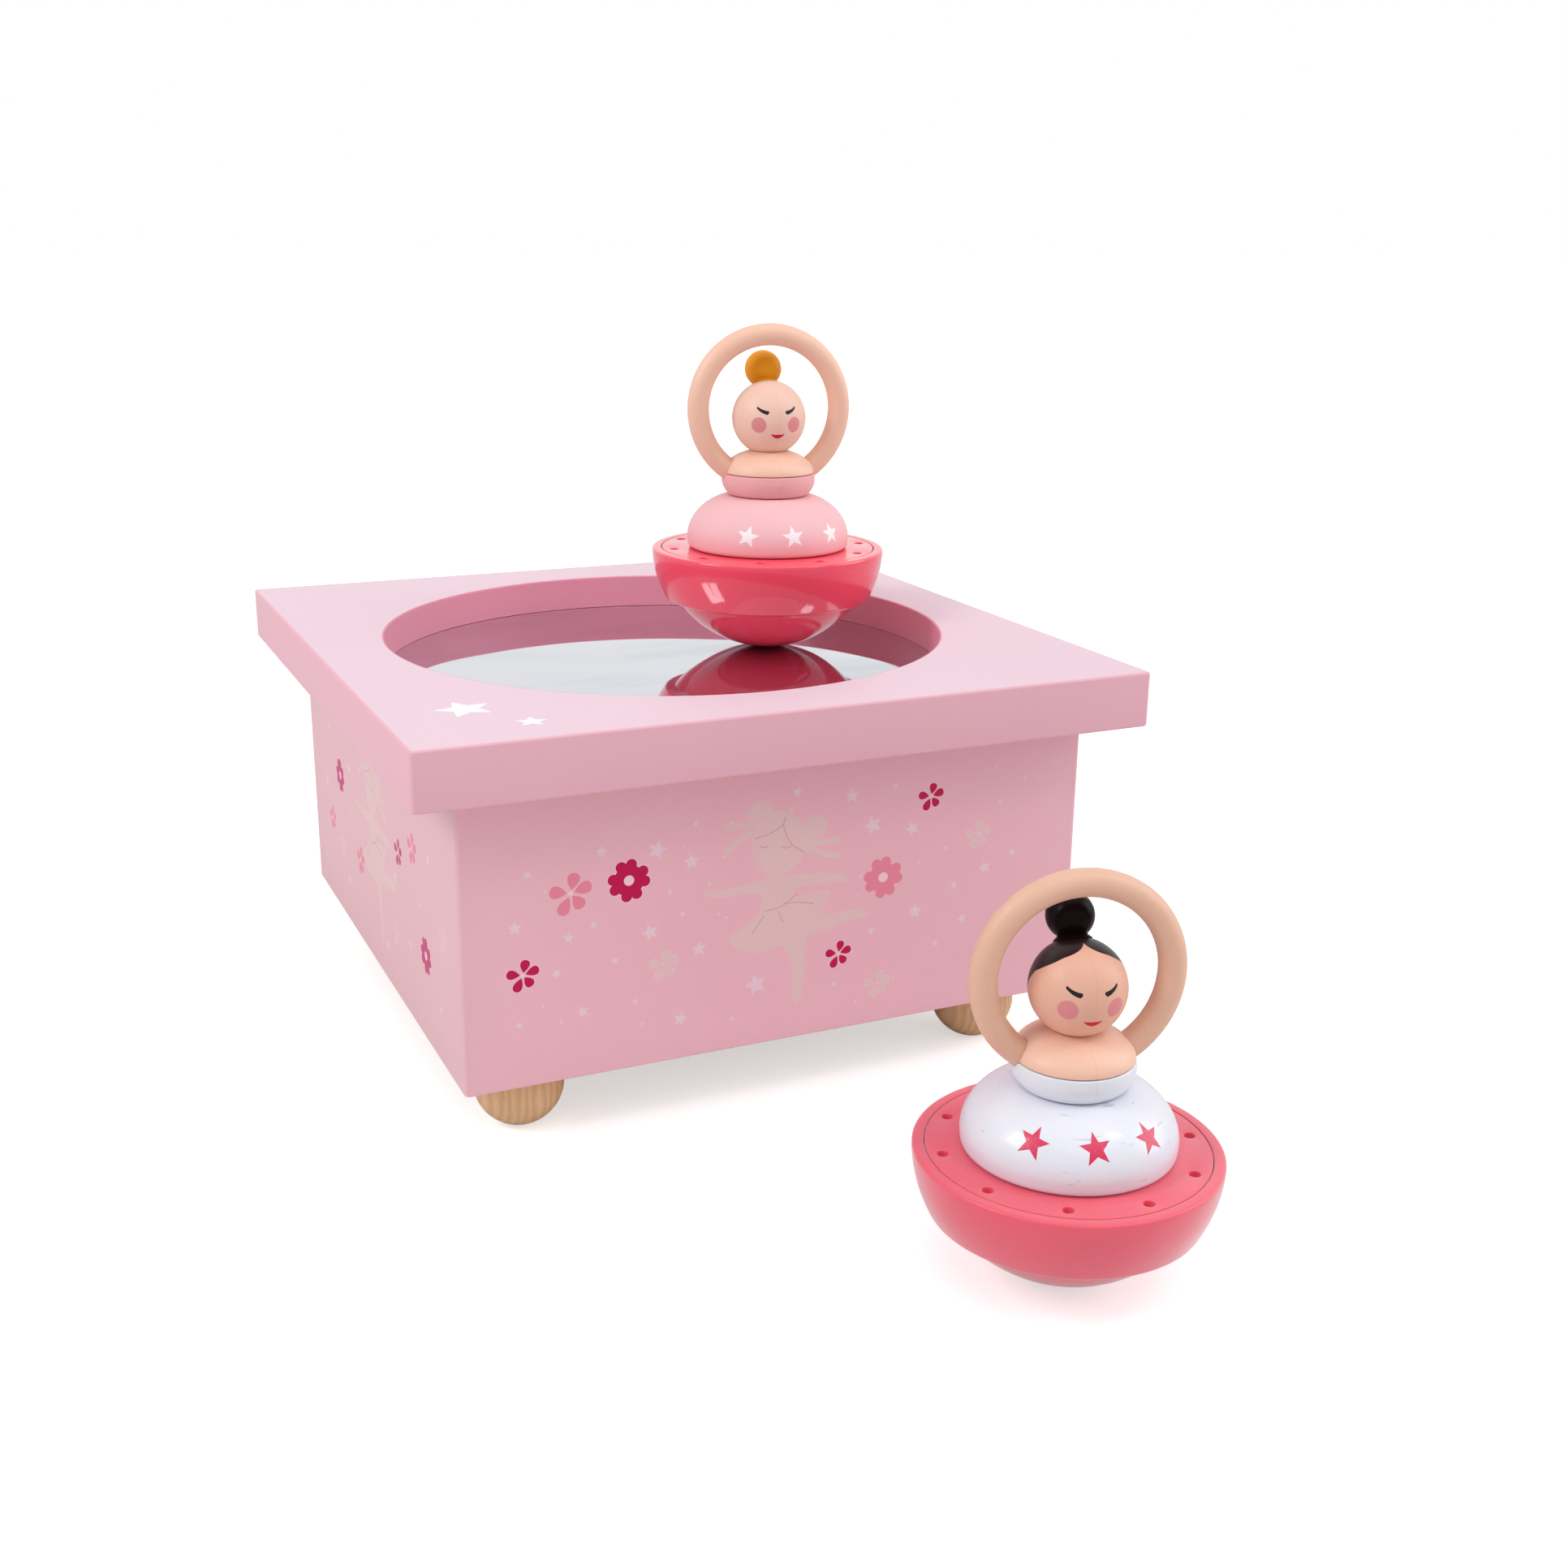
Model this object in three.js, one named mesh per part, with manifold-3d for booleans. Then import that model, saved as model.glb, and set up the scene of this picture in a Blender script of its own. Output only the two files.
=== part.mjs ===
// A wind-up music box for a nursery shelf: a printed board case with a round mirror let into its lid.
// A spring movement turns a magnet arm under the mirror, and the magnets carry round-bottomed dancers.
// One dancer stands on the mirror and the other on the table before the case.
// Units are millimetres. +Z is up, the printed front looks along -Y, and the table is z = 0.
import * as THREE from 'three';
import { mergeVertices } from 'three/addons/utils/BufferGeometryUtils.js';
import Module from 'manifold-3d';

const wasm = await Module();
wasm.setup();

// ---------- driving dimensions ----------
const plate = { side: 120, thickness: 9, holeRadius: 48, cornerRadius: 0.8 };
const mirrorPlate = { drop: 6, thickness: 2.8, lip: 4 };
const wall = { height: 47, thickness: 6, setback: 7.6 };
const floorPanel = { thickness: 6, keyHoleRadius: 9 };
const foot = { radius: 7.1, height: 10.8, inset: 11.5, restRadius: 2.6, tenonRadius: 3, tenonLength: 4 };
const glue = 0.1; // gap between pieces that are glued or screwed face to face
const running = 0.06; // radial clearance of a turning shaft in its hole
const free = 0.6; // gap between pieces that pass each other

const bed = { thickness: 2.5, left: -25, right: 44.5, front: -24, back: 23 };
const gear = { module: 1, addendum: 0.7, dedendum: 1.15, rootWidth: 0.34, tipWidth: 0.16, face: 2 };
const pinionTeeth = 8;
const barrelTeeth = 30;
const rotorTeeth = 18;
const barrel = { height: 11, radius: 14, shell: 1.2, rimHeight: 1.6, journalRadius: 1.6, hubRadius: 2.2 };
const spring = { turns: 3, innerRadius: 4.2, thickness: 0.7, height: 7.6 };
const drumCylinder = {
  radius: 6.5, length: 19, tracks: 18, pinHeight: 0.35, pinSize: 0.4, shaftRadius: 1.25, beats: 24,
};
const comb = {
  thickness: 1, toothGap: 0.3, tipGap: 0.35, toothLength: 12, backLength: 4, taper: 4,
  screwInset: 3.4, screwRadius: 1.05, screwLength: 4,
};
const bridge = {
  thickness: 2, width: 10, legThickness: 3.5, legClearance: 4.2, armHeight: 4.6, armThickness: 1.8,
};
const arm = { thickness: 4, width: 11, magnetDrop: 0.8, hubRadius: 4 };
const rotorMagnet = { radius: 4, height: 4 };
const train = {
  wheelTeeth: 20, pinionTeeth: 10, module: 0.5, face: 1.8, wormTeeth: 12, wormStarts: 2, wormModule: 0.8,
};
const worm = { tipRadius: 1.55, coreRadius: 0.9, length: 12, spindleRadius: 0.6 };
const fan = { span: 8, height: 4, thickness: 0.5 };
const frameWall = 1.5; // plates of the governor frame
const key = { span: 24, height: 6.6, thickness: 2.4, collarRadius: 4, tableGap: 2 };
const screw = { radius: 1.5, headRadius: 3, headHeight: 1.6, clearance: 0.2 };
const clickSpring = { wire: 0.4, radius: 3.1, turns: 3, pitch: 1.25 };

const doll = {
  capRadius: 20.25, ledgeRadius: 16.7, bandFootRadius: 18.4, rimRadius: 20.75, rimHeight: 18,
  shell: 2, rimWidth: 1.6, lidThickness: 1.6, lidGap: 0.15, bandSwell: 0.55,
  holeCount: 10, holeCircle: 17.1, holeRadius: 0.8, holeDepth: 1,
  skirtRadius: 14.45, skirtShoulder: 1.9, skirtHeight: 9.2, waistRadius: 7.3,
  tenonRadius: 4, tenonLength: 2.5,
  bodiceHeight: 3.8, bodiceRadius: 8.3, torsoRadius: 8.1, torsoHeight: 4.2,
  headRadius: 6.5, headSink: 1.2, bunRadius: 3.25, bunBack: 4.7, bunRise: 8.1,
  armsRadius: 12.75, armsTube: 1.9, armsRise: 1.6, armsGap: 0.2,
  magnetRadius: 4, magnetHeight: 3, weightInner: 4.4, weightRadius: 9, weightHeight: 3, rockGap: 0.35,
};
const onMirror = { x: 22.1, y: 5.4, facing: 259.3 };
const onTable = { x: 13.6, y: -111, facing: 254.8 };
const standGap = 0.05; // between a round base and what it stands on
const facets = { lid: 48, body: 24, shaft: 16, small: 12, tiny: 8 }; // sides of round pieces

// ---------- heights and half widths worked out from them ----------
const half = plate.side / 2;
const bodyHalf = half - wall.setback;
const innerHalf = bodyHalf - wall.thickness;
const caseBottom = foot.height;
const wallTop = caseBottom + wall.height;
const plateBottom = wallTop + glue;
const plateTop = plateBottom + plate.thickness;
const mirrorTop = plateTop - mirrorPlate.drop;
const mirrorBottom = mirrorTop - mirrorPlate.thickness;
const mirrorRadius = plate.holeRadius + mirrorPlate.lip;
const panelTop = caseBottom + floorPanel.thickness;
const bedBottom = panelTop + glue;
const bedTop = bedBottom + bed.thickness;
const barrelBottom = bedTop + free;
const barrelTop = barrelBottom + barrel.height;
const pinionRadius = gear.module * pinionTeeth / 2;
const barrelPitch = gear.module * barrelTeeth / 2;
const rotorPitch = gear.module * rotorTeeth / 2;
const shaftHeight = barrelTop + gear.dedendum + pinionRadius; // axis of the pinned cylinder
const rotorFace = shaftHeight + pinionRadius + gear.dedendum; // underside of the rotor gear's disc
const barrelX = rotorPitch - barrelPitch; // the rotor turns on the middle of the case
const discThickness = 2.4;
const bridgeBottom = rotorFace + discThickness + free;
const bridgeTop = bridgeBottom + bridge.thickness;
const magnetTop = mirrorBottom - arm.magnetDrop;
const magnetBottom = magnetTop - rotorMagnet.height;
const armBottom = magnetBottom - (arm.thickness - rotorMagnet.height * 0.75);
const magnetCircle = Math.hypot(onMirror.x, onMirror.y);
const armAngle = Math.atan2(onMirror.y, onMirror.x);
const cylinderStart = rotorPitch + gear.face + free + 1.4;
const cylinderEnd = cylinderStart + drumCylinder.length;
const trainStart = cylinderEnd + free;
const framePlateX = trainStart + train.face + free;
const wormWheelX = framePlateX + frameWall + free + 1;
const farPlateX = wormWheelX + train.face + 1.6;
const trainDistance = train.module * (train.wheelTeeth + train.pinionTeeth) / 2 + 0.1;
const wormPitch = train.wormModule * train.wormTeeth / 2;
const wormY = trainDistance + wormPitch + 0.5 * (worm.tipRadius + worm.coreRadius) + 0.25;

// ---------- finishes ----------
const finish = (color, roughness, metalness = 0) =>
  new THREE.MeshStandardMaterial({ color, roughness, metalness });
const finishes = {
  lid: finish('#f0cfd8', 0.5), panel: finish('#e8b4c0', 0.55), board: finish('#c9a67c', 0.85),
  mirror: finish('#e8ebee', 0.05, 1), beech: finish('#c99a63', 0.6),
  steel: finish('#a9adb2', 0.35, 1), brass: finish('#c8a248', 0.35, 1), zinc: finish('#9aa0a6', 0.5, 1),
  magnet: finish('#8d9095', 0.3, 1), nylon: finish('#eceae2', 0.5),
  coral: finish('#ea5f74', 0.3), skin: finish('#e9b496', 0.5), yellowHair: finish('#dc9a1c', 0.4),
  darkHair: finish('#1d1215', 0.3), rosePaint: finish('#ee9fa6', 0.55), whitePaint: finish('#eef0f5', 0.4),
};

// ---------- making and joining solids ----------
// A closed three.js geometry as a manifold-3d solid, with its shared vertices merged.
function solid(geometry) {
  const bare = geometry.clone();
  for (const name of Object.keys(bare.attributes)) {
    if (name !== 'position') bare.deleteAttribute(name);
  }
  const merged = mergeVertices(bare, 1e-4);
  const index = merged.index.array;
  const kept = [];
  for (let i = 0; i < index.length; i += 3) {
    const [a, b, c] = [index[i], index[i + 1], index[i + 2]];
    if (a !== b && b !== c && c !== a) kept.push(a, b, c);
  }
  return new wasm.Manifold(new wasm.Mesh({
    numProp: 3,
    vertProperties: Float32Array.from(merged.attributes.position.array),
    triVerts: Uint32Array.from(kept),
  }));
}

// A manifold-3d solid as a three.js geometry.
function geometryOf(body) {
  const mesh = body.getMesh();
  const geometry = new THREE.BufferGeometry();
  const position = new Float32Array(mesh.numVert * 3);
  for (let i = 0; i < mesh.numVert; i++) {
    position.set(mesh.vertProperties.subarray(i * mesh.numProp, i * mesh.numProp + 3), i * 3);
  }
  geometry.setAttribute('position', new THREE.BufferAttribute(position, 3));
  geometry.setIndex(new THREE.BufferAttribute(mesh.triVerts, 1));
  geometry.computeVertexNormals();
  return geometry;
}

const join = (...bodies) => bodies.reduce((sum, body) => sum.add(body));
const cut = (body, ...tools) => tools.reduce((rest, tool) => rest.subtract(tool), body);
const moved = (geometry, x, y, z) => geometry.translate(x, y, z);

// A box from one corner to the other.
function block([x0, y0, z0], [x1, y1, z1]) {
  const box = new THREE.BoxGeometry(x1 - x0, y1 - y0, z1 - z0);
  return moved(box, (x0 + x1) / 2, (y0 + y1) / 2, (z0 + z1) / 2);
}

// A body of revolution about Z. The profile is [radius, height] pairs, in either order.
// It starts and ends on the axis, or closes on itself when closed is true.
function turned(profile, sides = facets.body, closed = false) {
  const points = closed ? [...profile, profile[0]] : profile;
  let area = 0;
  points.forEach(([r, z], i) => {
    const [r2, z2] = points[(i + 1) % points.length];
    area += r * z2 - r2 * z;
  });
  const ordered = area > 0 ? points : [...points].reverse();
  const geometry = new THREE.LatheGeometry(ordered.map(([r, z]) => new THREE.Vector2(r, z)), sides);
  return geometry.rotateX(Math.PI / 2);
}

// A round rod along Z from one height to another.
const rod = (radius, z0, z1, sides = facets.shaft) =>
  turned([[0, z0], [radius, z0], [radius, z1], [0, z1]], sides);
// A hole whose flats, not its corners, clear a shaft of the given radius.
const holeRadius = (radius, clearance, sides = facets.shaft) =>
  (radius + clearance) / Math.cos(Math.PI / sides);
const hole = (radius, clearance, z0, z1, sides = facets.shaft) =>
  rod(holeRadius(radius, clearance, sides), z0, z1, sides);

const toX = new THREE.Matrix4().makeBasis(
  new THREE.Vector3(0, 1, 0), new THREE.Vector3(0, 0, 1), new THREE.Vector3(1, 0, 0));
// Turns a geometry drawn in XY and raised along Z, so that it is drawn in YZ and raised along X.
const alongX = (geometry) => geometry.applyMatrix4(toX);

function outline(points) {
  return new THREE.Shape(points.map(([x, y]) => new THREE.Vector2(x, y)));
}

function raised(shape, depth) {
  return new THREE.ExtrudeGeometry(shape, { depth, bevelEnabled: false, curveSegments: 8 });
}

// A toothed wheel about Z from z = 0 up, with a tooth pointing along +X when phase is 0.
function toothedWheel(teeth, module, thickness, phase = 0) {
  const pitch = module * teeth / 2;
  const tip = pitch + gear.addendum * module;
  const root = pitch - gear.dedendum * module;
  const step = 2 * Math.PI / teeth;
  const points = [];
  for (let k = 0; k < teeth; k++) {
    const middle = phase + k * step;
    const rootHalf = gear.rootWidth * step * pitch / root / 2;
    const tipHalf = gear.tipWidth * step / 2;
    for (const [radius, angle] of [[root, -rootHalf], [tip, -tipHalf], [tip, tipHalf], [root, rootHalf]]) {
      points.push([radius * Math.cos(middle + angle), radius * Math.sin(middle + angle)]);
    }
  }
  return raised(outline(points), thickness);
}

// Upright teeth of a crown wheel about Z, rooted at z = 0, with a gap along +X.
function crownTeeth(teeth, inner, outer) {
  const pitch = gear.module * teeth / 2;
  const step = 2 * Math.PI / teeth;
  const rootHalf = gear.rootWidth * step * pitch / 2;
  const tipHalf = gear.tipWidth * step * pitch / 2;
  const sunk = 0.4;
  const height = gear.dedendum + gear.addendum;
  const bodies = [];
  for (let k = 0; k < teeth; k++) {
    const tooth = alongX(raised(outline([
      [-rootHalf, -sunk], [rootHalf, -sunk], [rootHalf, 0],
      [tipHalf, height], [-tipHalf, height], [-rootHalf, 0],
    ]), outer - inner));
    bodies.push(solid(moved(tooth, inner, 0, 0).rotateZ((k + 0.5) * step)));
  }
  return bodies;
}

const root = new THREE.Group();
function add(parent, name, shape, material) {
  const geometry = shape.isBufferGeometry ? shape : geometryOf(shape);
  const mesh = new THREE.Mesh(geometry, material);
  mesh.name = name;
  parent.add(mesh);
  return mesh;
}

function group(parent, x = 0, y = 0, z = 0) {
  const made = new THREE.Group();
  made.position.set(x, y, z);
  parent.add(made);
  return made;
}

// ---------- the case ----------
const footPlaces = [
  ['front_left', -1, -1], ['front_right', 1, -1], ['back_left', -1, 1], ['back_right', 1, 1],
];
const footAt = bodyHalf - foot.inset;
const screwPlaces = [
  [bed.left + 5, bed.front + 5], [bed.left + 5, bed.back - 5], [bed.right - 7, bed.front + 6],
];

function lidPlate() {
  const corner = plate.cornerRadius;
  const square = new THREE.Shape();
  square.moveTo(-half + corner, -half);
  square.lineTo(half - corner, -half);
  square.absarc(half - corner, -half + corner, corner, -Math.PI / 2, 0, false);
  square.lineTo(half, half - corner);
  square.absarc(half - corner, half - corner, corner, 0, Math.PI / 2, false);
  square.lineTo(-half + corner, half);
  square.absarc(-half + corner, half - corner, corner, Math.PI / 2, Math.PI, false);
  square.lineTo(-half, -half + corner);
  square.absarc(-half + corner, -half + corner, corner, Math.PI, 1.5 * Math.PI, false);
  const slab = new THREE.ExtrudeGeometry(square, {
    depth: plate.thickness, bevelEnabled: false, curveSegments: 3,
  });
  const window = rod(plate.holeRadius, -1, plate.thickness + 1, facets.lid);
  const rebate = rod(mirrorRadius + glue, -1, plate.thickness - mirrorPlate.drop + glue, facets.lid);
  return cut(solid(slab), solid(window), solid(rebate));
}

function bottomPanel() {
  const side = innerHalf - glue;
  let body = solid(block([-side, -side, 0], [side, side, floorPanel.thickness]));
  const keyHole = rod(floorPanel.keyHoleRadius, -1, floorPanel.thickness + 1, facets.body);
  body = cut(body, solid(moved(keyHole, barrelX, 0, 0)));
  for (const [, sx, sy] of footPlaces) {
    const tenon = hole(foot.tenonRadius, glue, -1, foot.tenonLength + glue, facets.small);
    body = cut(body, solid(moved(tenon, sx * footAt, sy * footAt, 0)));
  }
  for (const [x, y] of screwPlaces) {
    const screwHole = hole(screw.radius, screw.clearance, -1, floorPanel.thickness + 1, facets.tiny);
    body = cut(body, solid(moved(screwHole, x, y, 0)));
  }
  return body;
}

// A turned ball foot, flat where it rests and where it meets the case, with a tenon on top.
function footBall() {
  const low = Math.sqrt(foot.radius ** 2 - foot.restRadius ** 2);
  const top = foot.height - glue;
  const profile = [[0, 0], [foot.restRadius, 0]];
  const footSteps = 6;
  const start = Math.atan2(-low, foot.restRadius);
  const end = Math.asin((top - low) / foot.radius);
  for (let k = 1; k <= footSteps; k++) {
    const angle = start + (end - start) * k / footSteps;
    profile.push([foot.radius * Math.cos(angle), low + foot.radius * Math.sin(angle)]);
  }
  const tenonTop = top + foot.tenonLength;
  profile.push([foot.tenonRadius, top], [foot.tenonRadius, tenonTop], [0, tenonTop]);
  return turned(profile, facets.shaft);
}

function buildCase() {
  add(group(root, 0, 0, plateBottom), 'top_plate', lidPlate(), finishes.lid);
  const glass = rod(mirrorRadius, 0, mirrorPlate.thickness, facets.lid);
  add(group(root, 0, 0, mirrorBottom), 'mirror', glass, finishes.mirror);
  const faces = group(root, 0, 0, caseBottom);
  const long = [2 * bodyHalf, wall.thickness, wall.height];
  const short = [wall.thickness, 2 * (innerHalf - glue), wall.height];
  const middle = bodyHalf - wall.thickness / 2;
  for (const [name, size, x, y] of [
    ['front_panel', long, 0, -middle], ['back_panel', long, 0, middle],
    ['left_panel', short, -middle, 0], ['right_panel', short, middle, 0],
  ]) {
    add(faces, name, new THREE.BoxGeometry(...size), finishes.panel).position.set(x, y, wall.height / 2);
  }
  add(faces, 'bottom_panel', bottomPanel(), finishes.board);
  for (const [corner, sx, sy] of footPlaces) {
    add(root, `foot_${corner}`, footBall(), finishes.beech).position.set(sx * footAt, sy * footAt, 0);
  }
}

// ---------- the movement: plates and fixed pieces ----------
const screwTip = bed.thickness + floorPanel.thickness - 0.6;

function bedPlate() {
  let body = solid(block([bed.left, bed.front, 0], [bed.right, bed.back, bed.thickness]));
  body = cut(body, solid(moved(hole(barrel.hubRadius, running, -1, bed.thickness + 1), barrelX, 0, 0)));
  for (const [x, y] of screwPlaces) {
    body = cut(body, solid(moved(hole(screw.radius, glue, -1, bed.thickness + 1, facets.tiny), x, y, 0)));
  }
  return body;
}

function panScrew(shank) {
  return turned([
    [0, -screw.headHeight], [screw.headRadius * 0.6, -screw.headHeight],
    [screw.headRadius, -screw.headHeight * 0.4], [screw.headRadius, 0],
    [screw.radius, 0], [screw.radius, shank], [0, shank],
  ], facets.tiny);
}

// The bridge stands over the barrel on two legs. Its middle carries the rotor, and a side arm
// carries the cylinder's shaft.
function bridgeFrame() {
  const legInner = barrel.radius + bridge.legClearance;
  const legOuter = legInner + bridge.legThickness;
  const top = bridgeTop - bedTop - glue;
  const under = top - bridge.thickness;
  const arch = alongX(raised(outline([
    [-legOuter, 0], [-legInner, 0], [-legInner, under], [legInner, under],
    [legInner, 0], [legOuter, 0], [legOuter, top], [-legOuter, top],
  ]), bridge.width));
  const shaftZ = shaftHeight - bedTop - glue;
  const armX = rotorPitch - gear.face / 2 - free - bridge.armThickness;
  const sideArm = block([armX, -3, shaftZ - bridge.armHeight / 2],
    [armX + bridge.armThickness, legOuter - 0.5, shaftZ + bridge.armHeight / 2]);
  const armRoot = block([bridge.width / 2 - 1, legInner, shaftZ - bridge.armHeight / 2],
    [armX + bridge.armThickness, legOuter - 0.5, shaftZ + bridge.armHeight / 2]);
  const journal = alongX(hole(drumCylinder.shaftRadius, running, armX - 1, armX + bridge.armThickness + 1));
  const rotorHole = hole(drumCylinder.shaftRadius, running, under - 1, top + 1);
  return cut(join(solid(moved(arch, -bridge.width / 2, 0, 0)), solid(sideArm), solid(armRoot)),
    solid(moved(journal, 0, 0, shaftZ)), solid(rotorHole));
}

const combWidth = drumCylinder.length - 1;
const combTip = -(drumCylinder.radius + drumCylinder.pinHeight + comb.tipGap);
const combRoot = combTip - comb.toothLength;
const combBack = combRoot - comb.backLength;
const combScrewX = [-combWidth / 2 + comb.screwInset, combWidth / 2 - comb.screwInset];
const combScrewY = combRoot - comb.backLength / 2;

const combScrewHoles = (z0, z1) => combScrewX.map((x) =>
  solid(moved(hole(comb.screwRadius, glue, z0, z1, facets.tiny), x, combScrewY, 0)));

// The comb: one plate with a tooth for each track, its low notes longer in the root.
function combPlate() {
  const pitch = combWidth / drumCylinder.tracks;
  const points = [[combWidth / 2, combBack], [combWidth / 2, combTip]];
  for (let k = drumCylinder.tracks - 1; k > 0; k--) {
    const x = -combWidth / 2 + k * pitch;
    const depth = combRoot + comb.taper * k / drumCylinder.tracks;
    points.push([x + comb.toothGap / 2, combTip], [x + comb.toothGap / 2, depth]);
    points.push([x - comb.toothGap / 2, depth], [x - comb.toothGap / 2, combTip]);
  }
  points.push([-combWidth / 2, combTip], [-combWidth / 2, combBack]);
  return cut(solid(raised(outline(points), comb.thickness)), ...combScrewHoles(-1, comb.thickness + 1));
}

function combBase(height) {
  const side = combWidth / 2 + 0.5;
  const body = solid(block([-side, combBack - 0.5, 0], [side, combRoot, height]));
  return cut(body, ...combScrewHoles(height - comb.screwLength - 1, height + 1));
}

function combScrew() {
  const r = comb.screwRadius;
  const tip = -comb.screwLength - comb.thickness;
  return turned([[0, tip], [r, tip], [r, 0], [2 * r, 0], [2 * r, 0.8], [0, 1.1]], facets.tiny);
}

// Two upright plates on a base carry the governor, and a bar across them holds the top of the worm.
function governorFrame() {
  const width = farPlateX + frameWall - framePlateX;
  const shaftZ = shaftHeight - bedTop - glue;
  const top = shaftZ + worm.length / 2 + 0.2;
  const back = wormY + 3;
  const first = block([0, -3, 0], [frameWall, back, shaftZ + 3]);
  const second = block([width - frameWall, trainDistance - 3, 0], [width, back, shaftZ + 3]);
  const base = block([0, -3, 0], [width, back, frameWall]);
  const posts = [0, width - frameWall].map((x) =>
    solid(block([x, wormY - 2, shaftZ], [x + frameWall, back, top + frameWall])));
  const bar = block([0, wormY - 2, top], [width, back, top + frameWall]);
  const body = join(solid(first), solid(second), solid(base), solid(bar), ...posts);
  const shaft = alongX(hole(drumCylinder.shaftRadius, running, -1, frameWall + 1));
  const arbor = alongX(hole(worm.spindleRadius + 0.2, running, -1, width + 1));
  const pivot = hole(worm.spindleRadius, running, frameWall * 0.4, top + frameWall + 1, facets.small);
  return cut(body, solid(moved(shaft, 0, 0, shaftZ)), solid(moved(arbor, 0, trainDistance, shaftZ)),
    solid(moved(pivot, wormWheelX + train.face / 2 - framePlateX, wormY, 0)));
}

// A round wire wound as a helix about Z.
function coil(radius, wire, turns, pitch, stepsPerTurn = 12) {
  const points = [];
  for (let k = 0; k <= turns * stepsPerTurn; k++) {
    const angle = 2 * Math.PI * k / stepsPerTurn;
    const rise = pitch * k / stepsPerTurn;
    points.push(new THREE.Vector3(radius * Math.cos(angle), radius * Math.sin(angle), rise));
  }
  const section = outline([[wire, 0], [0, wire], [-wire, 0], [0, -wire]]);
  return new THREE.ExtrudeGeometry(section, {
    steps: turns * stepsPerTurn, bevelEnabled: false, extrudePath: new THREE.CatmullRomCurve3(points),
  });
}

function buildFixedMovement(movement) {
  add(movement, 'bedplate', bedPlate(), finishes.zinc).position.z = bedBottom;
  screwPlaces.forEach(([x, y], i) => {
    const mesh = add(movement, `movement_screw_${i + 1}`, panScrew(screwTip), finishes.steel);
    mesh.position.set(x, y, caseBottom - glue);
  });
  add(movement, 'bridge', bridgeFrame(), finishes.zinc).position.z = bedTop + glue;
  const combX = (cylinderStart + cylinderEnd) / 2;
  const combZ = shaftHeight - comb.thickness / 2;
  add(movement, 'comb', combPlate(), finishes.steel).position.set(combX, 0, combZ);
  const baseHeight = combZ - glue - bedTop - glue;
  add(movement, 'comb_base', combBase(baseHeight), finishes.zinc).position.set(combX, 0, bedTop + glue);
  combScrewX.forEach((x, i) => {
    const mesh = add(movement, `comb_screw_${i + 1}`, combScrew(), finishes.brass);
    mesh.position.set(combX + x, combScrewY, combZ + comb.thickness + glue);
  });
  add(movement, 'governor_frame', governorFrame(), finishes.brass)
    .position.set(framePlateX, 0, bedTop + glue);
  const wound = clickSpring.turns * clickSpring.pitch;
  const click = coil(clickSpring.radius, clickSpring.wire, clickSpring.turns, clickSpring.pitch);
  add(movement, 'click_spring', click, finishes.steel)
    .position.set(barrelX, 0, bedBottom - clickSpring.wire - 0.3 - wound);
}

// ---------- the movement: turning pieces ----------
function springBarrel() {
  const height = barrel.height;
  const rim = barrelPitch + gear.face / 2 + 0.4;
  const floorHole = holeRadius(barrel.hubRadius, running, facets.body);
  const topHole = holeRadius(barrel.journalRadius, running, facets.body);
  const inner = barrel.radius - barrel.shell;
  const rimFoot = height - barrel.rimHeight;
  const shell = turned([
    [floorHole, 0], [barrel.radius, 0], [barrel.radius, rimFoot], [rim, rimFoot], [rim, height],
    [topHole, height], [topHole, height - barrel.shell], [inner, height - barrel.shell],
    [inner, 1], [floorHole, 1],
  ], facets.body, true);
  const teeth = crownTeeth(barrelTeeth, rim - gear.face - 0.8, rim)
    .map((tooth) => tooth.translate([0, 0, height]));
  return join(solid(shell), ...teeth);
}

// The mainspring: a flat strip wound as a spiral, free of the hub and the shell.
function mainspring() {
  const outer = barrel.radius - barrel.shell - 0.4 - spring.thickness;
  const stepsPerTurn = 12;
  const steps = stepsPerTurn * spring.turns;
  const path = (offset) => Array.from({ length: steps + 1 }, (_, k) => {
    const angle = 2 * Math.PI * k / stepsPerTurn;
    const radius = spring.innerRadius + (outer - spring.innerRadius) * k / steps + offset;
    return [radius * Math.cos(angle), radius * Math.sin(angle)];
  });
  return raised(outline([...path(0), ...path(spring.thickness).reverse()]), spring.height);
}

function windingArbor() {
  const top = barrelTop - key.tableGap - 1 - 0.2;
  const hubTop = barrelTop - 1.8 - key.tableGap - 1;
  const r = barrel.journalRadius;
  const neck = key.height + 0.2;
  return turned([[0, 0], [r, 0], [r, neck], [barrel.hubRadius, neck + 0.5], [barrel.hubRadius, hubTop],
    [r, hubTop], [r, top], [0, top]], facets.shaft);
}

function windingKey() {
  const round = key.height / 2;
  const reach = key.span / 2 - round;
  const wing = new THREE.Shape();
  wing.moveTo(-reach, 0);
  wing.lineTo(reach, 0);
  wing.absarc(reach, round, round, -Math.PI / 2, Math.PI / 2, false);
  wing.lineTo(-reach, key.height);
  wing.absarc(-reach, round, round, Math.PI / 2, 1.5 * Math.PI, false);
  const plateShape = moved(raised(wing, key.thickness).rotateX(Math.PI / 2), 0, key.thickness / 2, 0);
  const collar = rod(key.collarRadius, 0.4, key.height + 1);
  const socket = hole(barrel.journalRadius, glue, 1 - glue, key.height + 2);
  return cut(join(solid(plateShape), solid(collar)), solid(socket));
}

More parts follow.
